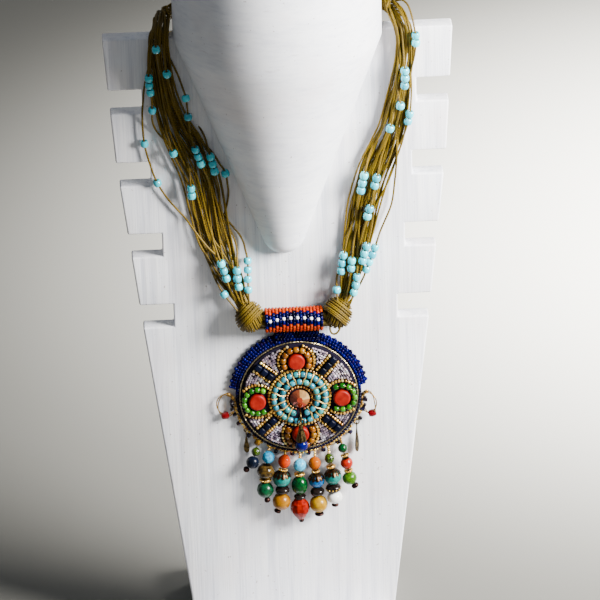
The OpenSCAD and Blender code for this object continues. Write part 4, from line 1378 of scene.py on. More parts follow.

# %% [markdown]
# ## The crystal
# The crystal keeps the solid's girdle and flat table, with eight star facets, eight kites and sixteen
# facets down to the girdle. Foil behind it throws back a different colour from each facet, and the
# tints also hold painted light by the side a facet faces: pale gold at the upper right is a painted
# highlight, over red below to dark copper on the left as painted shade. Every facet has its own tint
# and is flat.

# %% The crystal
def make_crystal():
    chance = random.Random(61)
    low, high = node_box("crystal")
    radius, base, height = (high[0] - low[0]) / 2, high[1], high[1] - low[1]
    cx, _, cz = CRYSTAL
    rings = [(radius * 0.8, 0, 16, 0), (radius, 1.1, 16, 0), (radius, 1.4, 16, 0),
             (radius * 0.68, height - 0.6, 8, 0.5), (radius * 0.3, height, 8, 0)]
    points = [spot(cx + r * math.cos(TAU * (i + turn) / n), base - h, cz + r * math.sin(TAU * (i + turn) / n))
              for r, h, n, turn in rings for i in range(n)]
    starts = [0, 16, 32, 48, 56]
    faces = [tuple(range(16)), tuple(range(56, 64))]
    for lower, upper in ((0, 16), (16, 32)):
        faces += [(lower + i, lower + (i + 1) % 16, upper + (i + 1) % 16, upper + i) for i in range(16)]
    for i in range(8):
        mid, after = starts[3] + i, starts[3] + (i + 1) % 8
        table, table_after = starts[4] + i, starts[4] + (i + 1) % 8
        edge = [starts[2] + (2 * i + k) % 16 for k in range(3)]
        faces += [(edge[0], edge[1], mid), (edge[1], edge[2], mid), (edge[2], table_after, mid),
                  (mid, table_after, table), (edge[2], after, table_after)]
    finish = Finish("foiled_crystal", Coat_Weight=0.45, Coat_Roughness=0.02, Metallic=0.6)
    finish.cloud_tint(vivid(96, 30, 20), size=0.9, detail=2.0, share=0.5, rough=0.05, spread=0.12)
    obj = new_object("crystal", points, faces=faces, material=finish.material)
    tidy_normals(obj)
    # Tints run round by the side a facet faces: foil colours with a painted highlight at the upper right and
    # painted shade on the left.
    foil_and_painted_light = (srgb(240, 196, 128), srgb(226, 170, 100), srgb(150, 74, 42), srgb(112, 50, 34),
            srgb(104, 42, 30), srgb(150, 50, 26), srgb(186, 62, 26), srgb(196, 118, 58))
    tints = []
    for face in obj.data.polygons:
        off = face.center / MM - Vector((cx, 0, cz))
        turn = (math.degrees(math.atan2(off.z, off.x)) + chance.uniform(-14, 14)) % 360 / 45
        tints.append(foil_and_painted_light[int(turn) % 8] if math.hypot(off.x, off.z) > 0.3 else foil_and_painted_light[6])
    paint_tints(obj, tints, "FACE")
    finish_piece(obj, "crystal_topaz", "crystal", sharp=None)


make_crystal()

# %% [markdown]
# ## Turquoise rings and gold stitches
# The two rings of turquoise beads lie around the crystal. Gold thread comes up between the crystal's
# seeds, crosses the inner ring between two beads and goes down beyond the outer ring. There are more
# beads in the outer ring, so every third of its gaps has a thread of its own.

# %% Turquoise rings and gold stitches
BAIL_ANGLE = 1.5 * math.pi
TURQUOISE = vivid(116, 178, 196)
TURQUOISE_OTHERS = (vivid(138, 196, 212), vivid(96, 152, 168), vivid(124, 180, 180), vivid(140, 196, 190))
INNER = (8.3, 16, 1.4, 90)
OUTER = (12.0, 24, 1.35, 82)
BETWEEN_R = 10.15
STITCH_FROM, STITCH_TO = 6.5, 13.7


def turquoise_glass():
    """Milky pressed glass with darker clouds and a clear gloss."""
    finish = Finish("turquoise_glass", Coat_Weight=0.4, Coat_Roughness=0.06)
    cloud = finish.cloud_tint(vivid(60, 120, 140), size=1.1, detail=4.0, share=0.55, rough=0.16, spread=0.16)
    finish.bump(cloud, 0.08, 0.5)
    return finish.material


TURQUOISE_GLASS = turquoise_glass()


def make_turquoise(name, ring, skip, seed):
    radius, count, bead_r, start = ring
    chance = random.Random(seed)
    spots = []
    for i in range(count):
        if i == skip:
            continue
        a = math.radians(start) + TAU * i / count
        place, axis = sewn(*around(RINGS_AT, radius, a), a + math.pi / 2, bead_r + LIFT)
        spots.append((place, axis, (1, 1, chance.uniform(0.82, 0.9)),
                      shade(chance, TURQUOISE, 0.1, TURQUOISE_OTHERS, 0.6)))
    made = beads(name, spots, bead_r, 0.4, 2 * bead_r, TURQUOISE_GLASS, sides=20, rings=14)
    finish_piece(made, "turquoise_ring", name)


def gold_thread():
    finish = Finish("gold_thread", Metallic=0.75, Coat_Weight=0.2, Coat_Roughness=0.2)
    twist = finish.twist(0.5)
    finish.link(finish.ramp(twist, (0.1, srgb(150, 114, 50)), (0.8, srgb(236, 204, 126))), "Base Color")
    finish.link(0.28 + twist * 0.15, "Roughness")
    finish.bump(twist, 0.05, 0.8)
    return finish.material


GOLD_THREAD = gold_thread()


def stitch(inner_angle, outer_angle, start, end):
    """A thread over the turquoise beads, between two radii, low at both ends and where it dips."""
    line = []
    for t in np.linspace(0, 1, 15):
        radius = start + (end - start) * t
        swap = 1 / (1 + math.exp(-(radius - BETWEEN_R) * 3))
        a = inner_angle + (outer_angle - inner_angle) * swap
        line.append(on_disc(*around(RINGS_AT, radius, a), 0.35 + 2.1 * math.sin(math.pi * t) ** 0.4))
    return line


def turned_by(a, b):
    """The way round from angle b to angle a, from minus half a turn to half a turn."""
    return (a - b + math.pi) % TAU - math.pi


def gaps(ring):
    """The angles between the beads of a ring."""
    return [math.radians(ring[3]) + TAU * (i + 0.5) / ring[1] for i in range(ring[1])]


def make_stitches():
    outer_gaps = gaps(OUTER)
    lines, used = [], set()
    for a in gaps(INNER):
        free = [k for k in range(OUTER[1]) if k not in used]
        k = min(free, key=lambda k: abs(turned_by(outer_gaps[k], a)))
        used.add(k)
        if abs(turned_by(a, BAIL_ANGLE)) > 0.25:
            lines.append(stitch(a, a + turned_by(outer_gaps[k], a), STITCH_FROM, STITCH_TO))
    lines += [stitch(b, b, BETWEEN_R + 0.05, STITCH_TO) for k, b in enumerate(outer_gaps) if k not in used]
    made = cords("gold_stitches", lines, 0.32, GOLD_THREAD)
    finish_piece(made, "thread_gold")


def make_crystal_seeds():
    chance = random.Random(67)
    brown = (srgb(128, 72, 28), srgb(196, 148, 68), srgb(92, 48, 22), srgb(222, 186, 112))
    spots = []
    for a in np.arange(0, TAU, TAU / 26):
        if abs(turned_by(a, BAIL_ANGLE)) > 0.3:
            place, axis = sewn(*around(CRYSTAL_AT, 5.85, a), a + math.pi / 2, 0.75)
            spots.append((place, axis, chance.uniform(0.9, 1.02),
                          shade(chance, srgb(166, 112, 46), 0.2, brown, 0.6)))
    made = beads("crystal_seeds", spots, 0.68, 0.2, 1.1, GOLD_LINED)
    finish_piece(made, "gold_metal")


make_turquoise("turquoise_inner", INNER, INNER[1] // 2, 71)
make_turquoise("turquoise_outer", OUTER, None, 73)
make_stitches()
make_crystal_seeds()
dress("ring_threads", metal("ring_thread_gold", srgb(236, 204, 126), srgb(150, 114, 50), 0.3, 0.6))

# %% [markdown]
# ## Corals, petals and bars
# The corals are flat round stones with a soft shoulder. Half-rings of glass beads stand around them:
# amber at the top and bottom, leaf green at the sides. The bars are three rounded blocks each.

# %% Corals and petals
PETALS = {
    "amber_top": ("top", 90, 9, 28, 1.4), "amber_bottom": ("bottom", 270, 9, 28, 1.4),
    "green_left": ("left", 180, 10, 26, 1.28), "green_right": ("right", 0, 9, 29, 1.28)}


def coral_stone():
    finish = Finish("coral_stone", Specular_IOR_Level=0.15)
    cloud = finish.noise(2.6, detail=4.0)
    pore = finish.noise(0.4)
    body = finish.ramp(cloud, (0.3, vivid(164, 46, 44)), (0.55, vivid(186, 60, 54)),
                       (0.78, vivid(204, 78, 68)))
    pores = finish.ramp(pore, (0.68, 0.0), (0.78, 1.0))
    finish.link(finish.blend(pores * 0.4, body, vivid(160, 38, 38)), "Base Color")
    finish.link(0.34 + pore * 0.2, "Roughness")
    finish.bump(cloud, 0.12, 0.5)
    return finish.material


def clear_bead_glass(name, deep, rough):
    """Clear coloured glass: each bead is deeper in colour in its clouds and glossy outside."""
    finish = Finish(name, Coat_Weight=0.3, Coat_Roughness=0.04, Specular_IOR_Level=0.25)
    finish.cloud_tint(deep, size=0.9, detail=3.0, share=0.75, rough=rough, spread=0.1)
    return finish.material


CORAL_STONE = coral_stone()
PETAL_LOOKS = {
    "amber": ("amber_glass", vivid(206, 136, 30),
              (vivid(222, 156, 44), vivid(174, 104, 22), vivid(212, 128, 40)),
              clear_bead_glass("amber_glass", vivid(120, 52, 14), 0.1)),
    "green": ("leaf_green", vivid(84, 160, 62),
              (vivid(112, 190, 84), vivid(58, 128, 52), vivid(136, 204, 100)),
              clear_bead_glass("green_glass", vivid(30, 92, 36), 0.1))}


def make_coral(name):
    node = "coral_" + name
    radius, height = half_size(node)[:2] * (1, 2)
    flat = radius - 0.95
    profile = [(0.01, 0), (radius - 0.3, 0), (radius, 0.4)]
    profile += arc(flat, height - 0.9, 0.95, 0.9, 0, math.pi / 2, 9)
    profile += [(flat * t, height + 0.03 * (1 - t)) for t in (0.75, 0.5, 0.25)] + [(0.01, height + 0.03)]
    finish_piece(turned_flat(node, profile, node, 64, CORAL_STONE), "coral_red", node)


def make_petals(node, seed):
    coral, facing, count, step, bead_r = PETALS[node]
    chance = random.Random(seed)
    slot, colour, others, glass = PETAL_LOOKS[node.split("_")[0]]
    spots = []
    for i in range(count):
        a = math.radians(facing + (i - (count - 1) / 2) * step)
        place, axis = sewn(*around(CORALS[coral], PETAL_R, a), a + math.pi / 2, bead_r + LIFT)
        spots.append((place, axis, (1, 1, chance.uniform(0.86, 0.92)),
                      shade(chance, colour, 0.12, others, 0.55)))
    made = beads(node, spots, bead_r, 0.35, 2 * bead_r, glass, sides=20, rings=14)
    finish_piece(made, slot, node)


for name in CORALS:
    make_coral(name)
for k, node in enumerate(PETALS):
    make_petals(node, 80 + k)

# %% The bars
def make_bars():
    """Rounded glass blocks, some nearly black and some a clearer blue."""
    chance = random.Random(91)
    points, faces, tints = [], [], []
    length, width, height = 3.3, 3.2, 2.4
    for angle in BARS:
        along, across = spot(math.cos(angle), math.sin(angle), 0), spot(-math.sin(angle), math.cos(angle), 0)
        for radius in (17.2, 20.75, 24.3):
            start = len(points)
            for h in (0, height):
                for sx, sz in ((-1, -1), (1, -1), (1, 1), (-1, 1)):
                    x, z, _ = along * (radius + sx * length / 2) + across * sz * width / 2
                    points.append(on_disc(x, z, LIFT + h))
            corners = ((0, 1, 2, 3), (4, 5, 6, 7), (0, 1, 5, 4), (1, 2, 6, 5), (2, 3, 7, 6), (3, 0, 4, 7))
            faces += [tuple(start + c for c in face) for face in corners]
            level = chance.uniform(0.6, 1.5)
            tints += [srgb(5 * level, 7 * level, 19 * level)] * 8
    finish = Finish("navy_block_glass", Specular_IOR_Level=0.06)
    cloud = finish.noise(1.6, detail=3.0)
    colour = finish.blend(cloud.math("POWER", 3.0), finish.read("tint", "Color"), srgb(8, 14, 38))
    finish.link(colour, "Base Color")
    finish.link(0.2 + cloud * 0.15, "Roughness")
    obj = new_object("navy_bars", points, faces=faces, material=finish.material)
    paint_tints(obj, tints)
    tidy_normals(obj)
    finish_piece(softened(obj, 0.85, 4), "navy_block", "navy_bars")


make_bars()

# %% [markdown]
# ## The rim
# Two thin gold wires twisted together lie around the ground. Outside them the felt's edge is sewn over
# with navy seeds. Over the top, from one hoop to the other, there are three full rows and a fourth of
# only every second bead, so that the edge is toothed.

# %% The ring of wire and the felt
BRIGHT_GOLD = metal("bright_gold", srgb(206, 192, 152), srgb(134, 116, 82), 0.24, 0.8)


def twisted_ring(name, at, radius, *, wire, apart, lay, gold, start=0.0, end=TAU):
    """Two wires twisted together along a circle. The centre and the plane come from a function."""
    length = radius * (end - start)
    count, twists = round(length / 0.45), round(length / lay)
    lines = []
    for phase in (0, math.pi):
        line = []
        for k in range(count + 1):
            a = start + (end - start) * k / count
            b = phase + TAU * twists * k / count
            line.append(at(radius + apart * math.cos(b), a, apart * math.sin(b)))
        lines.append(line)
    return cords(name, lines, wire, gold)


def make_bezel():
    at = lambda r, a, out: DISC + spot(r * math.cos(a), -out, r * math.sin(a))
    made = twisted_ring("bezel_ring", at, RING_R, wire=0.16, apart=0.2, lay=3.2, gold=BRIGHT_GOLD)
    finish_piece(made, "gold_metal", "bezel_ring")


def make_backing():
    edge = 0.35
    flat, thick = BACKING_R - edge, 2 * half_size("disc_backing")[1]
    profile = [(0.01, 0), (flat, 0)]
    profile += [(flat + edge * math.sin(a), edge - edge * math.cos(a)) for a in (0.5, 1.05, math.pi / 2)]
    profile += [(flat + edge * math.cos(a), thick - edge + edge * math.sin(a)) for a in (0.0, 0.5, 1.05)]
    profile += [(flat, thick), (0.01, thick)]
    made = turned_flat("disc_backing", profile, "disc_backing", 128, FELT)
    finish_piece(made, "backing_indigo", "disc_backing")


make_bezel()
make_backing()

# %% The sewn edge
TOOTHED_FROM, TOOTHED_TO = math.radians(8), math.radians(171)
FIRST_R, FIRST_PITCH = 28.45, 1.42
TOOTH_R, TOOTH_PITCH = 29.85, 1.5
VIOLET = (vivid(10, 8, 50), vivid(30, 24, 122), vivid(30, 16, 70))


def off_rim(radius, angle, depth):
    """A place around the medallion, so far in front of the board."""
    x, z = around((DISC[0], DISC[2]), radius, angle)
    return spot(x, front(depth), z)


def outward(angle):
    return math.cos(angle), 0, math.sin(angle)


def edge_seed(chance, radius, angle, depth, bore_out):
    axis = outward(angle if bore_out else angle + math.pi / 2)
    above = TOOTHED_FROM - 0.1 < angle < TOOTHED_TO + 0.1
    colours = (vivid(18, 14, 92), 0.3, VIOLET, 0.45) if above else (srgb(12, 10, 28), 0.3)
    tint = shade(chance, *colours)
    return off_rim(radius, angle, depth), axis, chance.uniform(0.94, 1.04), tint


def make_edge():
    chance = random.Random(97)
    count = round(TAU * FIRST_R / FIRST_PITCH)
    spots = [edge_seed(chance, FIRST_R, TAU * (k + 0.5) / count, 2.95, True) for k in range(count)]
    teeth = round((TOOTHED_TO - TOOTHED_FROM) * TOOTH_R / TOOTH_PITCH)
    step = (TOOTHED_TO - TOOTHED_FROM) / teeth
    for k in range(teeth + 1):
        a = TOOTHED_FROM + step * k
        for row, (radius, depth) in enumerate(((29.7, 2.4), (30.85, 2.0), (32.0, 1.8))):
            if row < 2 or k % 2:
                spots.append(edge_seed(chance, radius, a, depth, row < 2))
        if k < teeth:
            for radius, depth in ((30.2, 1.2), (31.3, 1.0)):
                spots.append(edge_seed(chance, radius, a + step / 2, depth, True))
    made = beads("sewn_edge", spots, SEED_R, 0.2, 1.3, SEED_GLASS)
    finish_piece(made, "seed_navy")


make_edge()

# %% [markdown]
# Below the hoops the edge has no teeth. Gold seeds are sewn along it in threes, and most of these
# carry a small dark cut bead outside.

# %% Dark cut beads on the lower edge
DARK_AT = [math.radians(90 - a) for a in (99, 108, 117, 132, 146, 160, 173, 187, 201, 229, 243, 252, 262)]
CUT_DARK = clear_bead_glass("cut_dark_glass", srgb(8, 5, 12), 0.06)


def make_lower_edge():
    chance = random.Random(101)
    gold, dark = [], []
    for a in DARK_AT:
        dark.append((off_rim(chance.uniform(31.0, 31.6), a, 1.5), outward(a), chance.uniform(0.92, 1.05),
                     shade(chance, srgb(24, 14, 30), 0.2, (srgb(16, 12, 40), srgb(36, 12, 20)), 0.6)))
        for off, r in ((-0.085, 30.2), (-0.045, 29.75), (0.045, 29.75), (0.085, 30.2)):
            place = off_rim(r + chance.uniform(-0.15, 0.15), a + off, 1.9)
            gold.append((place, outward(a + math.pi / 2), chance.uniform(0.85, 1.05),
                         shade(chance, GOLD_SEED, 0.15, GOLD_OTHERS, 0.4)))
    for a in np.arange(math.radians(192), math.radians(350), math.radians(3.2)):
        if chance.random() < 0.75:
            place = off_rim(30.1 + chance.uniform(-0.3, 0.3), a, chance.uniform(1.7, 2.6))
            gold.append((place, outward(a + math.pi / 2), chance.uniform(0.9, 1.15),
                         shade(chance, GOLD_SEED, 0.15, GOLD_OTHERS, 0.4)))
    finish_piece(beads("lower_edge_seeds", gold, 0.62, 0.2, 1.1, GOLD_LINED), "gold_metal")
    made = beads("dark_cut_beads", dark, 1.2, 0.3, 2.2, CUT_DARK, sides=8, rings=6)
    finish_piece(made, "fringe_dark", sharp=0.3)


make_lower_edge()

# %% [markdown]
# ## Hoops, leaves and the centre drop
# The two hoops are twisted from thin wire and carry a red cut bead each. The leaves are thin brass,
# darker in their grooves. The drop in the middle hangs from a bail: a fluted brass cone over a blue
# bead.

# %% Hoops and leaves
OLD_BRASS = metal("old_brass", srgb(104, 86, 52), srgb(30, 25, 17), 0.28, 0.9)
HOOP_GOLD = metal("hoop_gold", srgb(212, 170, 92), srgb(112, 80, 38), 0.24, 0.8)
CRIMSON_GLASS = clear_bead_glass("crimson_glass", vivid(70, 2, 10), 0.05)
HOOP_HALF_H, HOOP_WIRE = 5.5, 0.35
HOOP_BEAD_R = 1.8
COIL_R = 0.75
HOOPS = {"hoop_left": (0, 260), "hoop_right": (42, 298)}


def hoop_half_width(name):
    return (half_size(name)[0] - HOOP_WIRE) / math.cos(math.radians(HOOPS[name][0]))


def hoop_place(name, off, angle, out=0.0):
    """A point at an angle around a hoop, so far off its wire in its plane and out of it."""
    x, y, _ = middle(name)
    turn = math.radians(HOOPS[name][0])
    centre = spot(x, y, node_box(name)[1][2] - HOOP_HALF_H - HOOP_WIRE)
    across, outwards = spot(math.cos(turn), -math.sin(turn), 0), spot(-math.sin(turn), -math.cos(turn), 0)
    wide, tall = hoop_half_width(name) + off, HOOP_HALF_H + off
    return centre + across * wide * math.cos(angle) + spot(0, 0, tall * math.sin(angle)) + outwards * out


def make_hoop(name):
    """Two thin wires around an oval. Both ends run into the hoop's bead."""
    bead_at = math.radians(HOOPS[name][1])
    half_w = hoop_half_width(name)
    at = lambda r, a, out: hoop_place(name, r - half_w, a, out)
    made = twisted_ring(name, at, half_w, wire=0.26, apart=0.44, lay=13.0, gold=HOOP_GOLD,
                        start=bead_at + 0.3, end=bead_at + TAU - 0.3)
    finish_piece(made, "gold_metal", name)


def make_hoop_beads():
    chance = random.Random(107)
    spots = [(hoop_place(name, 0, math.radians(bead_at)), (1, 0, 0.2), 1.0,
              shade(chance, vivid(176, 10, 26), 0.1)) for name, (_, bead_at) in HOOPS.items()]
    made = beads("hoop_beads", spots, HOOP_BEAD_R, 0.3, 2 * HOOP_BEAD_R, CRIMSON_GLASS, sides=14, rings=12)
    finish_piece(made, "bead_crimson", "hoop_beads", sharp=0.2)


def make_hoop_coils():
    """A coil of thin wire ties each hoop to the rim at its top, with dark cut beads inside and below."""
    chance = random.Random(109)
    lines, dark = [], []
    for name, side in (("hoop_left", 1), ("hoop_right", -1)):
        start = math.radians(90 - side * 38)
        for k in range(2):
            lines.append([hoop_place(name, COIL_R * math.cos(b), start + side * (k * 0.55 - b / 60),
                                     COIL_R * math.sin(b)) for b in np.linspace(0, 4 * TAU, 97)])
        for inward, angle in ((1.2, 90 - side * 68), (0.9, 90 - side * 118)):
            place = hoop_place(name, -inward, math.radians(angle))
            dark.append((place, (0.4, 0, 1), 1.0, shade(chance, vivid(40, 22, 44), 0.2)))
    finish_piece(cords("hoop_coils", lines, 0.2, HOOP_GOLD, sides=6), "gold_metal")
    made = beads("hoop_dark_beads", dark, 1.1, 0.3, 2.1, CUT_DARK, sides=8, rings=6)
    finish_piece(made, "fringe_dark", sharp=0.3)


for name in HOOPS:
    make_hoop(name)
make_hoop_beads()
make_hoop_coils()
for node in ("leaf_left", "leaf_right", "drop_bail"):
    dress(node, OLD_BRASS)

# %% The drop
DROP_AT, DROP_R = middle("drop_bead"), half_size("drop_bead")[0]
DROP_LOOP_R, DROP_WIRE = 1.4, 0.4
CAP_R, CAP_TOP_R, CAP_TOP_Z = 2.35, 0.9, 115.5
FLUTES, FLUTE_DEPTH = 8, 0.13


def ball(name, radius, centre, sides, rings, material):
    profile = arc(0, 0, radius, radius, -1.5, 1.5, rings)
    return turned(name, profile, centre, sides=sides, material=material)


def make_cap():
    """A fluted cone over the bead, the loop that it hangs by, and the pin through both."""
    low, high = node_box("drop_cap")
    x, y, bead_z = DROP_AT
    loop_z = high[2] - DROP_LOOP_R - DROP_WIRE
    neck_z = loop_z - DROP_LOOP_R
    cap_low, seat = bead_z + 2.3, DROP_R + 0.15
    rings = [(math.sqrt(max(0.0, seat * seat - (z - bead_z) ** 2)) + 0.01, z, 0.0)
             for z in np.linspace(bead_z + seat * 0.99, cap_low, 6)]
    rings += [(CAP_R + (CAP_TOP_R - CAP_R) * t, cap_low + (CAP_TOP_Z - cap_low) * t, FLUTE_DEPTH * (1 - t))
              for t in np.linspace(0, 1, 12)]
    rings += [(1.05, CAP_TOP_Z + 0.15, 0), (0.8, CAP_TOP_Z + 0.4, 0), (0.8, neck_z + 0.1, 0),
              (0.02, neck_z + 0.2, 0)]
    skin = []
    for r, z, flute in rings:
        turns = [(a, r * (1 + flute * math.cos(FLUTES * a))) for a in np.linspace(0, TAU, 64, endpoint=False)]
        skin.append([spot(x + wide * math.cos(a), y + wide * math.sin(a), z) for a, wide in turns])
    cone = loft("cone", skin, material=OLD_BRASS)
    loop = [spot(x + DROP_LOOP_R * math.cos(a), y, loop_z + DROP_LOOP_R * math.sin(a))
            for a in np.linspace(0, TAU, 33)]
    pin = [spot(x, y, z) for z in (low[2] + 0.5, bead_z, cap_low + 1)]
    wires = cords("wires", [loop], DROP_WIRE, OLD_BRASS, sides=12)
    rod = cords("rod", [pin], 0.35, OLD_BRASS, sides=10)
    foot = ball("foot", 0.6, spot(x, y, low[2] + 0.6), 16, 9, OLD_BRASS)
    finish_piece(join("drop_cap", cone, wires, rod, foot), "old_brass", "drop_cap")


def drop_glass():
    finish = Finish("drop_blue_glass", Coat_Weight=0.1, Coat_Roughness=0.04, Specular_IOR_Level=0.15)
    finish.cloud_ramp((0.3, srgb(3, 2, 50)), (0.7, srgb(6, 4, 88)), size=1.8, detail=3.0, rough=0.06,
                      spread=0.1)
    return finish.material


make_cap()
finish_piece(ball("drop_bead", DROP_R, DROP_AT, 40, 17, drop_glass()), "drop_blue", "drop_bead")

# %% [markdown]
# ## The fringe
# Seven strands hang from the lower rim. The table is the solid model's: for each bead its place, its
# radius and height, the solid it belongs to and how it looks. Its direction follows the strand. Gold
# seeds fill the thread between the larger beads.

# %% The strands of the fringe
FRINGE = [
    [(-15.2, 104.1, 1.6, 3.2, "small", "olive_seed"), (-16.2, 100.1, 2.1, 4.2, "small", "green_pressed"),
     (-17.9, 95.1, 3, 6, "1_navy", "navy"), (-20.9, 91.6, 1.5, 2.8, "dark", "end")],
    [(-10.5, 97, 2.9, 5.8, "2_sky", "sky"), (-11.9, 90.1, 4.1, 7, "2_olive", "olive"),
     (-12.2, 85.7, 2.6, 1.5, "brass", "washer"), (-12.4, 80.6, 3.9, 7.8, "2_green", "green"),
     (-11.6, 75.2, 1.5, 2.6, "dark", "end")],
    [(-3.1, 94.4, 2.9, 6.4, "3_orange", "orange"), (-3.9, 90.65, 2, 0.8, "brass", "washer"),
     (-4.6, 86, 4.1, 8.2, "3_turquoise", "turquoise"), (-4.4, 80.1, 3.4, 2.8, "dark", "dotted"),
     (-5, 74.1, 4.2, 8.4, "3_yellow", "ochre"), (-7, 69.2, 1.7, 1.6, "dark", "end")],
    [(4, 92.3, 3, 6, "4_sky", "pale_sky"), (3.7, 87.9, 2.4, 1.9, "brass", "washer"),
     (3.7, 82.1, 3.8, 9.2, "4_green", "deep_green"), (3.7, 76.2, 2.8, 1.6, "dark", "dotted"),
     (3.6, 69.9, 4.6, 10.4, "4_red", "red"), (4.1, 63.7, 1.2, 1.6, "brass", "end")],
    [(11, 93, 2.9, 6.2, "5_amber", "amber"), (11.3, 89.05, 1.8, 1.2, "brass", "washer"),
     (11.6, 84.3, 3.7, 7.4, "5_blue", "blue"), (11.9, 78.3, 3.3, 3.4, "dark", "dotted"),
     (12.3, 71.9, 4.2, 8.4, "5_yellow", "yellow"), (12.5, 66.7, 2.2, 1.2, "dark", "end")],
    [(17.9, 95.1, 2.3, 4.8, "small", "green_pressed"), (18.4, 91.1, 2.1, 1.8, "brass", "washer"),
     (19.3, 85.8, 3.9, 7.8, "6_turquoise", "turquoise"), (19.4, 79.8, 3.6, 3.4, "dark", "dotted"),
     (20, 75, 3.6, 5.6, "6_white", "white"), (20, 71.1, 1.7, 1.6, "dark", "end")],
    [(24.2, 99.9, 2.2, 4.4, "small", "deep_green"), (25.1, 96.6, 1.9, 1.4, "brass", "washer"),
     (25.9, 92.5, 2.9, 5.8, "7_coral", "coral"), (26.6, 88.7, 2, 1.2, "brass", "washer"),
     (27.1, 84.7, 3.4, 6.2, "7_green", "leaf"), (29.5, 80.6, 1.8, 2.2, "dark", "end")],
]
FRINGE_TOP_X = (-14.2, -9.8, -2.4, 4.5, 11.3, 17.6, 23.3)
FRINGE_DEPTH, TOP_DEPTH, LEAN = 4.9, 2.0, 0.4
THREAD_R = 0.25


def strand_places(s):
    """The knots of a strand: its start under the rim and the middle of each bead."""
    reach = BACKING_R + THREAD_R + SEAM
    top_z = DISC[2] - math.sqrt(reach ** 2 - (FRINGE_TOP_X[s] - DISC[0]) ** 2)
    places = [spot(FRINGE_TOP_X[s], front(TOP_DEPTH), top_z)]
    for x, z, *_ in FRINGE[s]:
        places.append(spot(x, front(min(FRINGE_DEPTH, TOP_DEPTH + (top_z - z) * LEAN)), z))
    return places


def bead_frame(s, i):
    """The middle of a strand's bead, its direction and two directions across it."""
    places = strand_places(s)
    axis = unit(places[i] - places[min(len(places) - 1, i + 2)])
    side = unit(np.cross(axis, (0, 1, 0.1)))
    return places[i + 1], axis, side, np.cross(axis, side)


def bead_profile(r, h, rings):
    """The profile of a ball or an egg, or of a rondelle where it is flatter than a ball."""
    if h >= 2 * r:
        return arc(0, 0, r, h / 2, -1.52, 1.52, rings)
    edge = arc(r - h / 2, 0, h / 2, h / 2, -math.pi / 2, math.pi / 2, 9)
    return [(0.3, -h / 2)] + edge + [(0.3, h / 2)]


DROP_STEPS = (
    (0.04, -0.5), (0.34, -0.5), (0.68, -0.3), (0.96, -0.09), (1, 0.05), (0.86, 0.3), (0.43, 0.5), (0.04, 0.5))


def drop_profile(r, h):
    """The cut drop of the middle strand: a short shoulder over a long taper."""
    return [(r * across, h * along) for across, along in DROP_STEPS]


print("strands of the fringe:", len(FRINGE), "beads:", sum(len(s) for s in FRINGE))

# %% [markdown]
# Every kind of bead has its own glass or stone. Cut beads get few sides and flat shading, so that
# their facets catch the light one by one. Mottled ones have clouds and veins, and pressed ones a bump.

# %% The fringe's finishes
def pressed_glass(name, light, deep, size=0.9, depth=0.35):
    """Glass pressed with a knobbly pattern, deeper in colour in its hollows."""
    finish = Finish(name, Coat_Weight=0.25, Coat_Roughness=0.05, Specular_IOR_Level=0.25)
    knob = finish.add("ShaderNodeTexVoronoi", {"feature": "SMOOTH_F1"},
                      {"Vector": finish.place(), "Scale": 1 / size, "Smoothness": 0.6}, "Distance")
    finish.link(finish.ramp(knob, (0.15, light), (0.75, deep)), "Base Color")
    finish.link(0.14 + knob * 0.15, "Roughness")
    finish.bump(knob * -1.0, depth)
    return finish.material


def cut_glass(name, light, deep, gloss=0.25):
    """Cut glass, with light and deep patches that differ from facet to facet."""
    finish = Finish(name, Coat_Weight=gloss, Coat_Roughness=0.03, Specular_IOR_Level=gloss)
    finish.cloud_ramp((0.35, deep), (0.65, light), size=1.6, detail=1.0, rough=0.06, spread=0.1)
    return finish.material


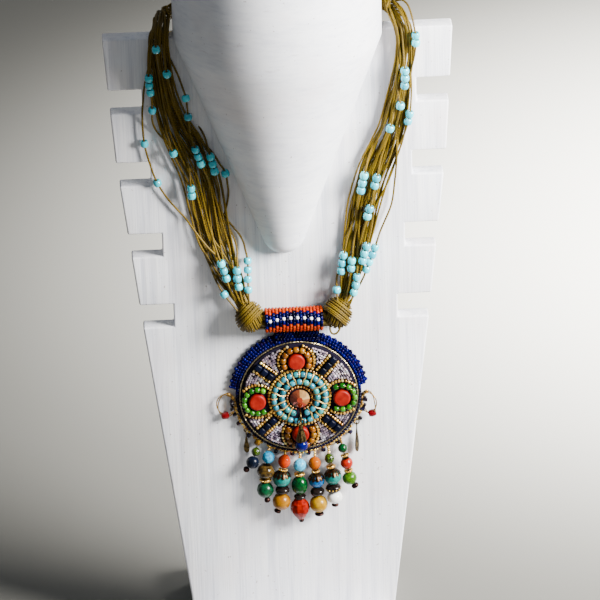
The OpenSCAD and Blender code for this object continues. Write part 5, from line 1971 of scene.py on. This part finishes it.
LOOKS = {
    "olive_seed": cut_glass("olive_seed_glass", vivid(190, 140, 40), vivid(96, 64, 14)),
    "green_pressed": pressed_glass("green_pressed_glass", vivid(96, 124, 40), vivid(16, 38, 12)),
    "navy": mottled_stone("navy_mottled", srgb(6, 13, 30), srgb(2, 4, 14), srgb(16, 30, 42), coat=0.1),
    "end": metal("dark_end", srgb(60, 40, 36), srgb(16, 11, 11), 0.34),
    "sky": pressed_glass("sky_glass", vivid(140, 204, 236), vivid(88, 162, 212), 1.1, 0.2),
    "pale_sky": pressed_glass("pale_sky_glass", vivid(164, 210, 232), vivid(126, 188, 218), 1.1, 0.2),
    "olive": cut_glass("olive_cut_glass", srgb(76, 57, 21), srgb(32, 23, 9), 0.15),
    "washer": metal("washer_brass", srgb(196, 152, 76), srgb(70, 46, 22), 0.26, 0.7),
    "green": mottled_stone("green_mottled", vivid(48, 108, 74), vivid(18, 56, 40), vivid(92, 136, 100)),
    "orange": cut_glass("orange_glass", vivid(248, 78, 0), vivid(232, 60, 0), 0.04),
    "turquoise": mottled_stone("turquoise_stone", vivid(58, 178, 164), vivid(34, 132, 124),
                               srgb(30, 26, 18), 2.2),
    "dotted": cut_glass("dark_rondelle", srgb(30, 22, 19), srgb(9, 7, 6), 0.14),
    "ochre": mottled_stone("ochre_stone", vivid(208, 142, 26), vivid(172, 102, 14),
                           vivid(140, 80, 24), 2.6),
    "yellow": mottled_stone("yellow_stone", vivid(228, 178, 40), vivid(202, 144, 20),
                            vivid(160, 100, 30), 2.6),
    "deep_green": mottled_stone("deep_green_glass", vivid(26, 88, 44), vivid(9, 46, 22),
                                vivid(90, 150, 100), 2.0, 0.1),
    "red": cut_glass("red_cut_glass", vivid(196, 34, 8), vivid(150, 18, 6), 0.1),
    "amber": cut_glass("amber_ball_glass", vivid(228, 118, 0), vivid(204, 92, 0), 0.04),
    "blue": mottled_stone("blue_stone", vivid(74, 136, 194), vivid(32, 76, 150),
                          vivid(110, 150, 200), 2.0),
    "white": mottled_stone("white_glass", srgb(232, 232, 228), srgb(214, 212, 206),
                           srgb(190, 184, 176), 3.0),
    "coral": mottled_stone("coral_ball", vivid(222, 58, 40), vivid(184, 34, 24),
                           vivid(222, 96, 70), 1.8),
    "leaf": mottled_stone("leaf_green_glass", vivid(94, 144, 50), vivid(50, 100, 30),
                          vivid(140, 180, 84), 1.6),
}
CUT = {"olive": (13, 9), "red": (10, 8), "olive_seed": (8, 6), "dotted": (20, 9)}

# %% The fringe's beads
def strand_bead(s, i, look):
    """One bead of a strand, turned along its thread."""
    r, h = FRINGE[s][i][2:4]
    place, axis = bead_frame(s, i)[:2]
    sides, rings = CUT.get(look, (40, 19))
    profile = drop_profile(r, h) if look == "red" else bead_profile(r, h, rings)
    return turned("bead", profile, place, axis, sides=sides, material=LOOKS[look])


def make_fringe_beads():
    """Joins the beads that belong to one solid, such as all dark ones."""
    groups = {}
    for s, strand in enumerate(FRINGE):
        for i, row in enumerate(strand):
            groups.setdefault(row[4], []).append(strand_bead(s, i, row[5]))
    slots = {"small": "fringe_green", "dark": "fringe_dark", "brass": "old_brass",
             "4_green": "fringe_deep_green", "5_amber": "fringe_orange"}
    for group, parts in groups.items():
        slot = slots.get(group) or "fringe_" + group.split("_")[1]
        made = join("fringe_" + group, *parts)
        finish_piece(made, slot, "fringe_" + group, sharp=math.radians(24))


make_fringe_beads()

# %% [markdown]
# Some beads wear a pierced cap of dark metal over their upper half, one of the flat dark ones is set
# with gold dots, and gold seeds are strung on the thread wherever it would show.

# %% Caps, dots and seeds of the fringe
CAPPED = ((2, 2, 1.3), (4, 2, 1.42), (5, 2, 1.28), (6, 2, 0.62), (1, 1, 0.5))
CAP_PETALS, PETAL_SIDES, CAP_ROWS = 11, 10, 8
CAP_BORE = 0.16
CAP_METAL = metal("cap_metal", srgb(76, 56, 35), srgb(11, 9, 8), 0.26, 0.5)


def bead_cap(s, i, reach):
    """A scalloped cap on a bead, reaching down to an angle from its pole, with a hole in each petal."""
    r, h = FRINGE[s][i][2:4]
    place, axis, side, other = bead_frame(s, i)
    points, faces, count = [], [], CAP_PETALS * PETAL_SIDES
    for k in range(CAP_ROWS):
        for j in range(count):
            a = TAU * j / count
            edge = reach * (0.8 + 0.2 * abs(math.cos(CAP_PETALS * a / 2)))
            tilt = CAP_BORE + (edge - CAP_BORE) * k / (CAP_ROWS - 1)
            rise = 1.035 + 0.03 * math.cos(CAP_PETALS * a) * k / CAP_ROWS
            points.append(place + axis * h / 2 * math.cos(tilt) * rise
                          + (side * math.cos(a) + other * math.sin(a)) * r * math.sin(tilt) * rise)
    for k in range(CAP_ROWS - 1):
        for j in range(count):
            hole = k in (4, 5) and j % PETAL_SIDES in (4, 5, 6)
            if not hole:
                b = (j + 1) % count
                faces.append((k * count + j, k * count + b, (k + 1) * count + b, (k + 1) * count + j))
    cap = new_object("cap", points, faces=faces, material=CAP_METAL)
    wall = cap.modifiers.new("wall", "SOLIDIFY")
    wall.thickness = 0.16 * MM
    wall.offset = 1
    tidy_normals(cap)
    return settle(cap)


def make_caps():
    finish_piece(join("fringe_caps", *[bead_cap(s, i, reach) for s, i, reach in CAPPED]), "old_brass")


def make_dots():
    """Gold dots around the brass washers and around the flat dark bead of the sixth strand."""
    chance = random.Random(113)
    spots = []
    for s, strand in enumerate(FRINGE):
        for i, row in enumerate(strand):
            if row[5] != "washer" and (row[5] != "dotted" or s != 5):
                continue
            place, _, side, other = bead_frame(s, i)
            for a in np.arange(0, TAU, TAU / 13):
                out = side * math.cos(a) + other * math.sin(a)
                spots.append((place + out * (row[2] - 0.05), out, 1.0, shade(chance, GOLD_SEED, 0.1)))
    finish_piece(beads("gold_dots", spots, 0.42, 0.1, 0.4, GOLD_LINED, sides=10, rings=6), "gold_metal")


THREAD_SEED_PITCH = 0.95


def make_thread_seeds():
    """Seeds on the bare thread between two beads, and around the tops of the strands."""
    chance = random.Random(127)
    spots = []
    for s, strand in enumerate(FRINGE):
        places = strand_places(s)
        halves = [0.0] + [row[3] / 2 for row in strand]
        for i, (here, after) in enumerate(zip(places, places[1:])):
            ahead = unit(after - here)
            room = float(np.linalg.norm(after - here)) - halves[i] - halves[i + 1]
            count = int(room / THREAD_SEED_PITCH)
            for k in range(count):
                at = halves[i] + room * (k + 0.5) / count
                spots.append((here + ahead * at, ahead, chance.uniform(0.9, 1.15),
                              shade(chance, GOLD_SEED, 0.2, GOLD_OTHERS, 0.4)))
    finish_piece(beads("fringe_seeds", spots, 0.72, 0.26, 1.0, GOLD_LINED), "gold_metal")


make_caps()
make_dots()
make_thread_seeds()


def thread():
    finish = Finish("beading_thread", Specular_IOR_Level=0.3)
    twist = finish.twist(0.6)
    finish.link(finish.ramp(twist, (0.0, srgb(16, 13, 12)), (1.0, srgb(52, 44, 38))), "Base Color")
    finish.link(0.55 + twist * 0.2, "Roughness")
    return finish.material


def make_threads():
    lines = [strand_places(s) for s in range(len(FRINGE))]
    made = cords("fringe_threads", lines, THREAD_R, thread())
    finish_piece(made, "fringe_thread", "fringe_threads")


make_threads()

# %% [markdown]
# ## Floor and light
# The bust stands on a plain pale floor in soft daylight from the right. A second lamp makes the floor
# brighter behind it on the right.

# %% Floor and light
def add_floor():
    finish = Finish("floor_grey", Roughness=0.9, Base_Color=srgb(104, 103, 97))
    corners = [(6000 * x, 6000 * y, 0) for x, y in ((-1, -1), (1, -1), (1, 1), (-1, 1))]
    new_object("floor", corners, faces=[(0, 1, 2, 3)], material=finish.material)


def add_light(name, place, aim, *, size, power, colour, cone=None):
    data = bpy.data.lights.new(name, "SPOT" if cone else "AREA")
    if cone:
        data.spot_size, data.spot_blend, data.shadow_soft_size = math.radians(cone), 1.0, size / 2
    else:
        data.shape, data.size = "DISK", size
    data.energy = power
    data.color = colour
    lamp = bpy.data.objects.new(name, data)
    lamp.location = place
    lamp.rotation_mode = "QUATERNION"
    lamp.rotation_quaternion = (Vector(aim) - lamp.location).to_track_quat("-Z", "Y")
    lamp.visible_camera = False
    bpy.context.scene.collection.objects.link(lamp)


def add_world(level, colour):
    world = bpy.data.worlds.new("soft_room")
    bpy.context.scene.world = world
    world.use_nodes = True
    sky = world.node_tree.nodes["Background"]
    sky.inputs["Color"].default_value = colour
    sky.inputs["Strength"].default_value = level


add_floor()
add_light("daylight", (0.48, -0.27, 0.45), (0.0, 0.0, 0.2), size=0.3, power=28, colour=(1.0, 0.985, 0.96))
add_light("floor_light", (0.45, 0.44, 0.44), (0.36, 0.44, 0.0), size=0.1, power=630,
          colour=(1.0, 0.99, 0.98), cone=95)
add_world(0.28, (0.86, 0.92, 1.0, 1))
